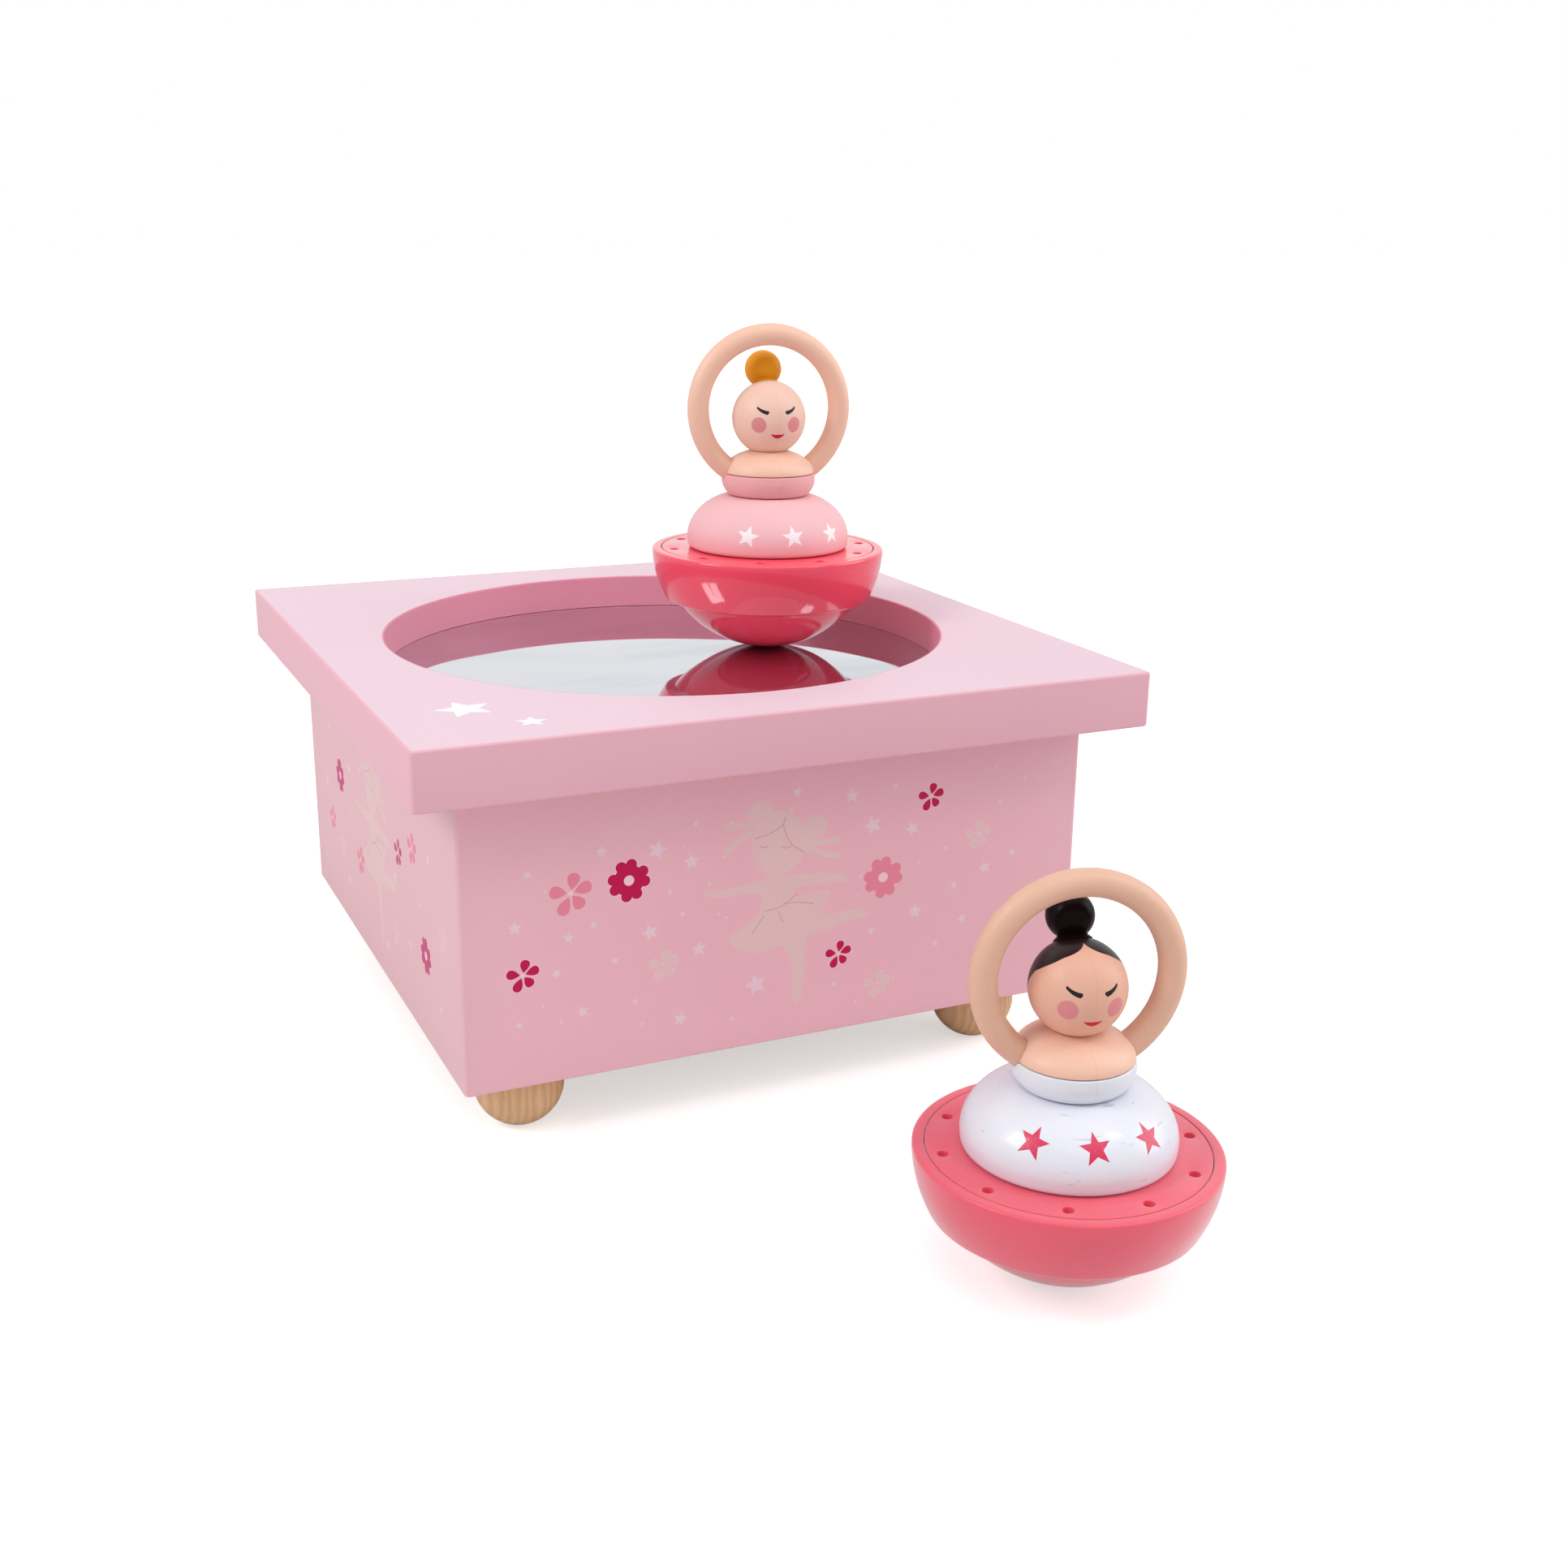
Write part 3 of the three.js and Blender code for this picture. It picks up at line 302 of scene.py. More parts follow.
def face_paint(name, colour, deep, hair=None):
    """A head: skin with closed slanting eyes, round blush, a half-moon mouth, and hair when given.
    Angles are degrees round from the face's middle and up from the head's middle."""
    f = seamed(moulded(name, colour, deep, 0.42, scatter=0.15, gloss=0.3), SEAM)
    turns, along = f.map_parts()
    az = (turns - 0.5) * 360
    el = along / DEGREE - 90
    side = abs(az)
    apart = f.function("SQRT", (side - 29.5) * (side - 29.5) * 0.97 + (el + 6) * (el + 6))
    blush = ((12.0 - apart) * 1.2 + 0.5).unit()
    paint = f.mix(blush * 0.9, f.fed("Base Color"), tint("dd858c"))
    lip = (az - 1.5) / 12.5
    hollow = 1 - lip * lip
    lower = (el + 20.0 + hollow * 7.6) * 1.2
    upper = (-1 * el - 20.0 - hollow * 0.7) * 1.2
    mouth = (lower + 0.4).unit() * (upper + 0.4).unit() * (hollow * 8).unit()
    paint = f.mix(mouth, paint, tint("cf1a30"))
    # The eye runs from its inner end up and out: s goes along it, d is how far above it a point lies.
    run, lift = 19.5, 8.5
    length = math.hypot(run, lift)
    s = ((side - 14) * run + (el - 12.5) * lift) / (length * length)
    bow = s * (1 - s) * 4
    d = ((el - 12.5) * run - (side - 14) * lift) / length + bow * 1.5
    thick = (3.2 - s * 1.6) * ((s + 0.04) * 12).unit()
    eye = ((thick - abs(d)) * 2.5 + 0.5).unit() * ((1.02 - s) * 30).unit() * ((s + 0.04) * 30).unit()
    paint = f.mix(eye, paint, tint("0d0507"))
    if hair:
        hairline = [(0, 82), (16, 71), (32, 62), (50, 53), (64, 42), (76, 33), (88, 24), (97, 8),
                    (105, -13), (120, -30), (150, -42), (180, -45)]
        stops = [(a / 180, ((e + 90) / 180,) * 3 + (1.0,)) for a, e in hairline]
        line = f.node("ShaderNodeValToRGB", {"stops": stops}, {"Fac": side / 180}, out="Color")
        cap = ((el + 90 - line * 180) * 0.9 + 0.5).unit()
        strands = f.node("ShaderNodeCombineXYZ", {}, {"X": turns * 60, "Y": along * 0.12})
        locks = f.noise(1.0, 3.0, strands)
        paint = f.mix(cap, paint, f.mix(locks, tint(hair[0]), tint(hair[1])))
        f.feed(Roughness=f.fed("Roughness") - cap * 0.08)
    f.feed(Base_Color=paint)
    return f


FINISHES = {
    "lid": painted_board("lid_paint", 0.42),
    "panel": painted_board("panel_print", 0.5),
    "mirror": mirror_glass(),
    "beech": beech(),
    "board": raw_board(),
    "steel": metal("drawn_steel", "b9bdc2", 0.34),
    "brass": metal("turned_brass", "d0ab54", 0.32, dull="8c6f2e"),
    "zinc": metal("cast_zinc", "a2a7ad", 0.55, (900, 900, 900), "7d8288"),
    "magnet": metal("nickel_plate", "c3c2bd", 0.2, (500, 500, 500)),
    "nylon": moulded("white_nylon", "eceae2", "dcd9cf", 0.5),
    "coral_gloss": moulded("coral_gloss", "fc4a66", "f2415b", 0.24, peel=0.004, coat=0.7, gloss=0.3),
    "coral_satin": moulded("coral_satin", "f0596f", "e64f66", 0.42, peel=0.008, coat=0.1, sheen=1.0),
    "skin": seamed(moulded("skin_plastic", "f4c8b2", "edbba3", 0.45, scatter=0.15), SEAM),
    "warm_skin": seamed(moulded("warm_skin_plastic", "e9bda5", "e1b096", 0.45, scatter=0.15), SEAM),
    "yellow_bun": moulded("yellow_hair", "f6a60a", "dd8d04", 0.45, scatter=0.0, gloss=0.25),
    "dark_bun": moulded("dark_hair", "1a0a0c", "0e0506", 0.3, scatter=0.0, gloss=0.06),
    "rose": seamed(moulded("rose_paint", "f0afb2", "e9a5a8", 0.62, peel=0.012, scatter=0.05,
                           grain=2600), "c27c80"),
    "white": seamed(moulded("white_paint", "e9eaf2", "dfe0ea", 0.36, coat=0.25, scatter=0.05,
                            grain=2600), "b9bac6"),
}


# ---------- surfaces ----------
CREASE = math.radians(34)  # edges sharper than this stay sharp
WELD = 1e-6  # metres


class Skin:
    """Patches of surface gathered into one closed mesh. Each face corner keeps a map place and an
    ink."""

    def __init__(self, ink=WHITE):
        self.ink = ink
        self.points, self.faces, self.places, self.inks, self.smooth = [], [], [], [], []
        self.count = 0

    def add(self, points, faces, places=None, inks=None, smooth=True):
        """Faces are rows of point numbers. Places and inks hold a row for each corner of each face."""
        points = np.asarray(points, float).reshape(-1, 3)
        faces = [list(map(int, face)) for face in faces]
        corners = sum(map(len, faces))
        self.points.append(points)
        self.faces += [[k + self.count for k in face] for face in faces]
        places = np.zeros((corners, 2)) if places is None else places
        inks = np.tile(self.ink, (corners, 1)) if inks is None else inks
        self.places.append(np.reshape(places, (corners, 2)))
        self.inks.append(np.reshape(inks, (corners, 4)))
        self.smooth += [smooth] * len(faces)
        self.count += len(points)
        return self

    def grid(self, points, around=True, along=None, loop=False, ink=None):
        """A grid of rows and columns. Columns close on themselves when around, rows when loop.
        The map runs 0 to 1 across the columns, and by the given lengths along the rows."""
        rows, columns = points.shape[:2]
        r = np.arange(rows if loop else rows - 1)[:, None]
        c = np.arange(columns if around else columns - 1)[None, :]
        r2, c2 = (r + 1) % rows, (c + 1) % columns
        faces = np.stack([r * columns + c, r * columns + c2, r2 * columns + c2, r2 * columns + c], -1)
        v = np.arange(rows + 1, dtype=float) if along is None else np.append(along, along[-1])
        u = np.broadcast_to(c / columns, faces.shape[:2])
        u2 = np.broadcast_to((c + 1) / columns, faces.shape[:2])
        v1, v2 = np.broadcast_to(v[r], faces.shape[:2]), np.broadcast_to(v[r + 1], faces.shape[:2])
        places = np.stack([np.stack(p, -1) for p in ((u, v1), (u2, v1), (u2, v2), (u, v2))], -2)
        inks = None if ink is None else np.tile(ink, (faces.shape[0] * faces.shape[1] * 4, 1))
        return self.add(points, faces.reshape(-1, 4), places, inks)

    def piece(self, name, finish, body, node):
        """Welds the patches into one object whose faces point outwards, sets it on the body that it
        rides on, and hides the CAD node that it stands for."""
        mesh = bpy.data.meshes.new(name)
        mesh.from_pydata((np.concatenate(self.points) * MM).tolist(), [], self.faces)
        mesh.uv_layers.new(name="map").data.foreach_set("uv", np.concatenate(self.places).ravel())
        ink = mesh.color_attributes.new("ink", "FLOAT_COLOR", "CORNER")
        ink.data.foreach_set("color", np.concatenate(self.inks).ravel())
        mesh.polygons.foreach_set("use_smooth", self.smooth)
        mesh.materials.append(finish.material)
        welded(mesh)
        mesh.set_sharp_from_angle(angle=CREASE)
        made = bpy.data.objects.new(name, mesh)
        bpy.context.scene.collection.objects.link(made)
        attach(made, body)
        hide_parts(node)
        return made


def welded(mesh):
    """Joins points that meet, then turns every face outwards."""
    made = bmesh.new()
    made.from_mesh(mesh)
    bmesh.ops.remove_doubles(made, verts=made.verts, dist=WELD)
    bmesh.ops.recalc_face_normals(made, faces=made.faces)
    made.to_mesh(mesh)
    made.free()


def softened(corners, steps=6):
    """A path through (x, y, reach) corners. Each corner is rounded by a curve that leaves its sides at
    reach: (1 - t)^2 times the point before, 2 t (1 - t) times the corner, t^2 times the point after."""
    rows = np.array(corners, float)
    spot, reach = rows[:, :2], rows[:, 2:]
    before, after = np.roll(spot, 1, 0) - spot, np.roll(spot, -1, 0) - spot
    before[0], after[-1] = 0, 0
    size = lambda v: np.maximum(np.linalg.norm(v, axis=1, keepdims=True), 1e-9)
    start, end = spot + before / size(before) * reach, spot + after / size(after) * reach
    t = np.linspace(0, 1, steps)[None, :, None]
    start, spot, end = start[:, None], spot[:, None], end[:, None]
    path = ((1 - t) ** 2 * start + 2 * t * (1 - t) * spot + t ** 2 * end).reshape(-1, 2)
    fresh = np.append(True, np.linalg.norm(np.diff(path, axis=0), axis=1) > 1e-5)
    return path[fresh]


def plain(radii, heights):
    """Profile points with no rounding, as (radius, height, 0) rows."""
    return np.stack([radii, heights, np.zeros_like(radii)], 1)


def turned(profile, centre, sides=128, start=0.0):
    """Each (radius, height) of the profile carried round the upright axis through the centre:
    x = centre + radius cos a, y = centre + radius sin a, with a from start through a whole turn."""
    a = start + np.linspace(0, 2 * np.pi, sides, endpoint=False)
    r, z = profile[:, :1], profile[:, 1:]
    return np.stack([centre[0] + r * np.cos(a), centre[1] + r * np.sin(a),
                     centre[2] + z + 0 * a], -1)


def lengths(profile):
    return np.append(0, np.cumsum(np.linalg.norm(np.diff(profile, axis=0), axis=1)))


def lathed(profile, centre, sides, start=0.0):
    """A skin of one turned surface, mapped along its profile."""
    return Skin().grid(turned(profile, centre, sides, start), along=lengths(profile))


def above(base, height):
    return (base[0], base[1], base[2] + height)


def ring(radius, x=0.0, y=0.0, sides=96, start=0.0):
    a = start + np.linspace(0, 2 * np.pi, sides, endpoint=False)
    return np.stack([x + radius * np.cos(a), y + radius * np.sin(a)], -1)


def square_ring(half, corner, straight=8, bend=6):
    """A square with round corners: four quarter circles joined by straight sides, anticlockwise."""
    a = np.linspace(0, np.pi / 2, bend)
    arc = np.stack([half - corner + corner * np.cos(a), half - corner + corner * np.sin(a)], -1)
    reach = np.linspace(half - corner, corner - half, straight + 1)[1:-1]
    side = np.stack([reach, np.full_like(reach, half)], -1)
    quarter = np.concatenate([arc, side])
    turn = lambda k: quarter @ np.array([[math.cos(k * math.pi / 2), math.sin(k * math.pi / 2)],
                                         [-math.sin(k * math.pi / 2), math.cos(k * math.pi / 2)]])
    return np.concatenate([turn(k) for k in range(4)])


def lifted(outline, height):
    return np.column_stack([outline, np.full(len(outline), height)])


def printed(outline, ink, motifs=(), holes=()):
    """The flat area inside an outline, cut along every motif's edge, so that a print is as sharp as its
    outline. Motifs are (points, ink) and later ones lie over earlier ones; holes are left open."""
    loops = [outline, *holes, *[points for points, _ in motifs]]
    starts = np.cumsum([0] + [len(loop) for loop in loops])
    rings = [list(range(a, b)) for a, b in zip(starts[:-1], starts[1:])]
    flat = [Vector(p) for p in np.concatenate(loops).tolist()]
    points, _, faces, _, _, over = geometry.delaunay_2d_cdt(flat, [], rings, 1, 1e-6, True)
    open_to = 1 + len(holes)
    kept = [(face, owners) for face, owners in zip(faces, over)
            if owners and not any(0 < k < open_to for k in owners)]
    inks = [ink] + [ink] * len(holes) + [colour for _, colour in motifs]
    colours = [inks[max(owners)] for face, owners in kept for _ in face]
    return np.array([tuple(p) for p in points]), [face for face, _ in kept], np.array(colours)


# ---------- printed motifs, anticlockwise outlines in millimetres ----------
def star(x, y, size, turn=0.0):
    """Ten points, alternately on the tip circle and the notch circle."""
    a = np.pi / 2 + turn + np.arange(10) * np.pi / 5
    r = np.where(np.arange(10) % 2 == 0, size / 2, size * 0.23)
    return np.stack([x + r * np.cos(a), y + r * np.sin(a)], -1)


def petal(x, y, reach, width, turn):
    """A drop shape: along = reach (0.17 + 0.83 (1 - cos a) / 2),
    across = width sin a |sin(a / 2)| / 1.54."""
    a = np.linspace(0, 2 * np.pi, 20, endpoint=False)
    along = reach * (0.17 + 0.83 * (1 - np.cos(a)) / 2)
    across = -width / 1.54 * np.sin(a) * np.abs(np.sin(a / 2))
    c, s = math.cos(turn), math.sin(turn)
    return np.stack([x + along * c - across * s, y + along * s + across * c], -1)


def oval(x, y, wide, high, turn=0.0, sides=28):
    a = np.linspace(0, 2 * np.pi, sides, endpoint=False)
    p, q = wide * np.cos(a), high * np.sin(a)
    return np.stack([x + p * math.cos(turn) - q * math.sin(turn),
                     y + p * math.sin(turn) + q * math.cos(turn)], -1)


def stroke(points, width):
    """A line of even width: each point moved half the width to both sides of its path."""
    p = np.array(points, float)
    way = np.gradient(p, axis=0)
    side = np.stack([-way[:, 1], way[:, 0]], -1) / np.linalg.norm(way, axis=1, keepdims=True) * width / 2
    return np.concatenate([p - side, (p + side)[::-1]])


def smooth_loop(points, steps=4):
    """A closed curve through the given points (Catmull-Rom), then turned anticlockwise."""
    p = np.array(points, float)
    a, b, c, d = np.roll(p, 1, 0), p, np.roll(p, -1, 0), np.roll(p, -2, 0)
    t = np.linspace(0, 1, steps, endpoint=False)[None, :, None]
    a, b, c, d = a[:, None], b[:, None], c[:, None], d[:, None]
    curve = (2 * b + (c - a) * t + (2 * a - 5 * b + 4 * c - d) * t ** 2
             + (3 * b - a - 3 * c + d) * t ** 3).reshape(-1, 2) * 0.5
    x, y = curve.T
    area = np.sum(x * np.roll(y, -1) - y * np.roll(x, -1))
    return curve if area > 0 else curve[::-1]


# The lid ink is paler and the edge and hole inks are deeper than the plate's one paint: painted light on
# the top, painted shade on its sides and in the hole.
PINK = {name: tint(code) for name, code in {
    # The side ink for the short walls is a paler, greyer pink than the panel ink of the long walls:
    # painted light, the haze on the side faces.
    "lid": "e9cdd9", "edge": "ecb6c4", "hole": "e596ab", "panel": "f3bec9", "side": "ecc0c7",
    "magenta": "c4004f", "mauve": "c8487c", "rose": "ee8ba0", "halo": "f8d3dc", "cream": "eccaca",
    "line": "d6aaab", "pale": "f0d3de", "white": "f7f5f9",
}.items()}


def drop_flower(x, y, size, ink, halo="halo", eye="halo"):
    """Five drop petals of uneven length round an open middle."""
    turns = np.radians([77, 16, -53, -116, 169])
    reaches = np.array([0.47, 0.5, 0.45, 0.53, 0.49]) * size
    made = []
    for grow, colour in ((0.1, halo), (0.0, ink)):
        made += [(petal(x, y, r + grow, size * 0.29 + 2 * grow, t), PINK[colour])
                 for r, t in zip(reaches, turns)]
    return made + [(oval(x, y, size * 0.06, size * 0.06, sides=16), PINK[eye])]


def notched_flower(x, y, size, ink, halo="halo", eye="halo"):
    """Four petals, each two overlapping rounds side by side, joined by a middle round."""
    made = []
    for grow, colour in ((0.13, halo), (0.0, ink)):
        lobe, reach = size * 0.13 + grow, size * 0.37
        turns = 0.17 + np.pi / 2 * np.arange(4)[:, None] + np.array([-0.33, 0.33])
        made += [(oval(x + reach * c, y + reach * s, lobe, lobe, sides=20), PINK[colour])
                 for c, s in zip(np.cos(turns.ravel()), np.sin(turns.ravel()))]
        made += [(oval(x, y, size * 0.36 + grow, size * 0.36 + grow), PINK[colour])]
    return made + [(oval(x, y, size * 0.12, size * 0.12, sides=20), PINK[eye])]


def dancer_print():
    """A pale dancer in one flat ink: buns with ribbons, head, arms out, tipped skirt, a raised leg."""
    arms = [(-3.8, -19.3), (-5.4, -19.6), (-8.0, -20.0), (-11.3, -20.2), (-13.9, -20.1), (-14.3, -20.5),
            (-13.6, -21.0), (-12.1, -21.3), (-10.0, -21.4), (-7.5, -21.4), (-5.4, -21.7), (-3.0, -22.4),
            (0.7, -22.0), (1.5, -21.7), (4.2, -21.6), (6.9, -21.7), (9.4, -21.8), (10.0, -21.1),
            (9.6, -20.7), (5.5, -19.8), (1.5, -19.5), (-1.2, -19.4)]
    bodice = [(-3.7, -18.2), (-1.3, -18.6), (-1.1, -19.7), (0.9, -21.6), (0.7, -22.6), (-0.1, -23.8),
              (-1.4, -24.7), (-3.2, -25.2), (-4.9, -24.9), (-4.8, -22.8), (-4.9, -21.3), (-3.9, -19.5)]
    skirt = [(-4.9, -24.6), (-3.0, -24.6), (-0.1, -23.8), (1.3, -22.9), (4.2, -22.8), (6.9, -22.9),
             (6.4, -24.8), (5.5, -27.0), (5.0, -29.0), (3.0, -29.9), (-1.0, -30.9), (-3.7, -31.4),
             (-5.8, -31.4), (-8.2, -30.7), (-9.7, -29.5), (-10.3, -28.5), (-9.8, -27.9), (-7.9, -27.0),
             (-6.4, -25.9)]
    raised = [(3.4, -26.6), (7.0, -26.8), (9.8, -26.7), (12.0, -26.8), (13.4, -27.3), (13.7, -28.0),
              (12.8, -28.4), (11.2, -28.5), (8.7, -29.1), (6.3, -29.5), (3.8, -29.8), (1.5, -29.9)]
    standing = [(-0.9, -29.8), (2.9, -29.2), (2.8, -31.8), (2.8, -35.0), (2.7, -38.1), (2.2, -40.2),
                (1.6, -41.2), (1.0, -41.0), (0.6, -39.9), (0.7, -37.2), (0.4, -34.6), (-0.2, -32.6)]
    ribbons = [[(-6.6, -10.6), (-9.0, -10.3), (-11.0, -10.3)],
               [(-6.6, -11.6), (-9.0, -13.0), (-11.1, -14.3)],
               [(4.2, -14.7), (6.4, -14.8), (8.5, -14.6)], [(3.4, -15.6), (5.8, -16.7), (8.6, -17.4)]]
    lines = [[(-6.0, -12.7), (-3.9, -12.3), (-2.1, -11.6), (-1.2, -10.9), (-0.8, -9.7)],
             [(-1.3, -10.9), (-0.6, -13.0), (0.3, -14.5), (2.4, -16.0)],
             [(-5.2, -13.9), (-4.5, -14.3), (-3.8, -14.2)], [(-1.5, -14.6), (-0.6, -14.9), (0.2, -14.7)],
             [(-4.4, -24.7), (-2.2, -24.6), (-0.6, -24.0), (0.5, -23.1), (1.5, -22.7)],
             [(-1.1, -23.9), (1.0, -24.0), (4.3, -24.7)], [(-4.3, -25.5), (-5.4, -26.8), (-6.3, -28.2)],
             [(-1.9, -25.1), (-1.5, -26.0), (-1.1, -27.0)]]
    cream, line = PINK["cream"], PINK["line"]
    made = [(oval(-5.1, -8.8, 2.1, 2.1), cream), (oval(4.3, -12.0, 2.0, 1.9), cream),
            (oval(-1.9, -13.9, 4.6, 5.2, 0.12), cream), (oval(2.6, -14.6, 1.8, 1.6), cream)]
    made += [(smooth_loop(shape), cream) for shape in (arms, bodice, skirt, raised, standing)]
    made += [(stroke(path, 1.0), cream) for path in ribbons]
    return made + [(stroke(path, 0.16), line) for path in lines]


def star_field(places, seed, reach_x, low, high, count=26):
    """Pale stars at the given (x, y, size) places, and a seeded scatter of very small ones between."""
    draw = np.random.default_rng(seed)
    turns = draw.uniform(-0.4, 0.4, len(places) + count)
    made = [(star(x, y, size, turn), PINK["pale"]) for (x, y, size), turn in zip(places, turns)]
    taken = np.array([(x, y) for x, y, _ in places])
    for turn in turns[len(places):]:
        x, y = draw.uniform(-reach_x, reach_x), draw.uniform(low, high)
        size = draw.uniform(0.55, 1.0)
        if np.min(np.hypot(*(taken - (x, y)).T)) > 2.5:
            made.append((star(x, y, size, turn), PINK["halo" if size < 0.75 else "pale"]))
    return made


def face_print():
    """The long faces: the dancer among flowers and stars. x runs to the right, y down from the top."""
    stars = [(14.3, -13.1, 3.4), (10.5, -7.8, 2.6), (21.4, -14.6, 2.5), (-21.9, -12.3, 3.2),
             (-16.4, -14.9, 2.7), (-30.6, -11.4, 2.0), (-5.6, -36.8, 3.9), (-18.3, -40.3, 2.5),
             (-34.0, -36.3, 2.1), (-15.2, -29.2, 2.6), (-23.1, -25.3, 2.9), (-44.1, -21.4, 2.3),
             (22.4, -28.8, 2.7), (35.2, -23.1, 2.4), (31.3, -31.4, 1.9), (-36.0, -24.1, 2.0),
             (-42.0, -13.4, 1.7), (-38.0, -29.5, 1.7), (1.1, -6.1, 2.0), (-32.1, -22.7, 1.3),
             (-28.8, -28.9, 1.5), (14.5, -30.9, 1.5), (29.5, -25.3, 1.5), (8.0, -39.0, 1.3),
             (40.2, -21.1, 1.4), (-43.9, -36.8, 1.3), (26.4, -35.0, 1.3), (33.8, -17.0, 1.2),
             (-25.6, -36.1, 1.2), (-9.6, -41.8, 1.2), (-17.9, -23.1, 1.1), (-19.9, -19.2, 1.1),
             (27.6, -18.7, 1.1), (18.2, -7.1, 1.4), (-15.7, -9.0, 1.1)]
    made = star_field(stars, 4, 46, -43, -5)
    for x, y in ((-21.0, -30.8), (15.9, -40.2), (33.6, -17.1)):
        made += drop_flower(x, y, 4.6, "cream", "pale", "pale")
    made += dancer_print()
    made += notched_flower(-26.4, -16.5, 6.8, "magenta")
    made += notched_flower(16.4, -22.1, 7.0, "rose", "panel")
    for x, y, size, ink in ((24.6, -9.6, 4.7, "magenta"), (-43.1, -28.9, 5.2, "magenta"),
                            (8.7, -33.9, 4.7, "magenta"), (-35.5, -17.2, 6.8, "rose")):
        made += drop_flower(x, y, size, ink, "panel" if ink == "rose" else "halo")
    return made


def side_print():
    """The short faces: the same flowers in other places round a smaller figure."""
    stars = [(13.1, -25.5, 2.6), (-18.6, -15.9, 2.4), (-39.0, -23.7, 2.4), (5.2, -40.4, 2.6),
             (-34.5, -12.2, 2.3), (36.0, -15.0, 2.3), (22.0, -34.0, 2.2), (-24.0, -38.5, 2.6),
             (40.0, -38.0, 1.8), (-44.0, -40.0, 1.8), (10.0, -10.0, 2.2), (-9.0, -9.0, 1.6),
             (28.0, -9.0, 1.5), (-20.0, -25.0, 1.6), (30.0, -24.5, 1.6)]
    made = star_field(stars, 9, 44, -43, -5)
    for x, y in ((43.0, -25.2), (-28.0, -33.0), (12.0, -35.5)):
        made += drop_flower(x, y, 4.4, "cream", "pale", "pale")
    made += dancer_print()
    made += notched_flower(32.0, -32.1, 6.2, "mauve") + notched_flower(-26.8, -19.4, 6.4, "mauve")
    for x, y, size, ink in ((26.0, -16.4, 5.6, "rose"), (16.4, -20.1, 5.0, "mauve"),
                            (-12.9, -31.0, 5.6, "rose"), (-36.0, -30.0, 5.0, "rose"),
                            (-13.9, -8.4, 4.2, "mauve")):
        # These flowers are ringed with the side ink, which carries the same painted light.
        made += drop_flower(x, y, size, ink, "side")
    return made


# ---------- the case ----------
def middle_of(node):
    lo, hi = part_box(node)
    return (np.array(lo) + np.array(hi)) / 2 / MM, np.array(lo) / MM, np.array(hi) / MM


CASE, lid_low, lid_high = middle_of("top_plate")
LID_HALF = (lid_high[0] - lid_low[0]) / 2
HOLE_RADIUS, LID_CORNER, LID_ARRIS, HOLE_ARRIS = 48.0, 0.8, 0.4, 0.35
_, mirror_low, mirror_high = middle_of("mirror")
MIRROR_RADIUS = (mirror_high[0] - mirror_low[0]) / 2
_, wall_low, wall_high = middle_of("front_panel")
WALL_HALF = (wall_high[0] - wall_low[0]) / 2
WALL_INNER = WALL_HALF - (wall_high[1] - wall_low[1])


def on_plan(outline, height):
    return lifted(outline + CASE[:2], height)


def build_lid():
    """The square plate: a rounded outer band, a stepped hole band, and two flat faces cut to fit."""
    skin = Skin(PINK["lid"])
    low, high = lid_low[2], lid_high[2]
    a = np.linspace(0, np.pi / 2, 6)
    inset = LID_ARRIS * (1 - np.sin(a))
    rise = LID_ARRIS * (1 - np.cos(a))
    levels = np.concatenate([low + rise, high - rise[::-1]])
    insets = np.concatenate([inset, inset[::-1]])
    rings = [square_ring(LID_HALF - d, LID_CORNER - d) for d in insets]
    # The outer band takes the deeper edge ink: painted shade on the plate's sides.
    skin.grid(np.stack([on_plan(r, z) for r, z in zip(rings, levels)]), ink=PINK["edge"])
    ceiling, rebate = mirror_high[2] + 0.03, MIRROR_RADIUS + 0.1
    hole = softened([(rebate, low, 0), (rebate, ceiling, 0), (HOLE_RADIUS, ceiling, 0.1),
                     (HOLE_RADIUS, high, HOLE_ARRIS), (HOLE_RADIUS + 1, high, 0)])[:-1]
    # The hole band takes the deeper hole ink: painted shade in the recess over the mirror.
    skin.grid(turned(hole, (CASE[0], CASE[1], 0), 192), ink=PINK["hole"])
    stars = [(star(-47.2, -41.0, 9.2, 0.15), PINK["white"]),
             (star(-40.3, -51.2, 5.0, -0.2), PINK["white"])]
    for height, outline, radius, motifs in ((high, rings[-1], hole[-1][0], stars),
                                            (low, rings[0], hole[0][0], ())):
        points, faces, inks = printed(outline, PINK["lid"], motifs, [ring(radius, sides=192)])
        skin.add(on_plan(points, height), faces, inks=inks, smooth=False)
    skin.piece("lid_plate", FINISHES["lid"], "case", "top_plate")


def build_mirror():
    """A silvered disc with a fine arris, and its painted back."""
    high = mirror_high[2] - mirror_low[2]
    profile = softened([(0, 0, 0), (MIRROR_RADIUS, 0, 0.2), (MIRROR_RADIUS, high, 0.3), (0, high, 0)])
    skin = lathed(profile, (CASE[0], CASE[1], mirror_low[2]), 192)
    skin.piece("mirror_disc", FINISHES["mirror"], "case", "mirror")


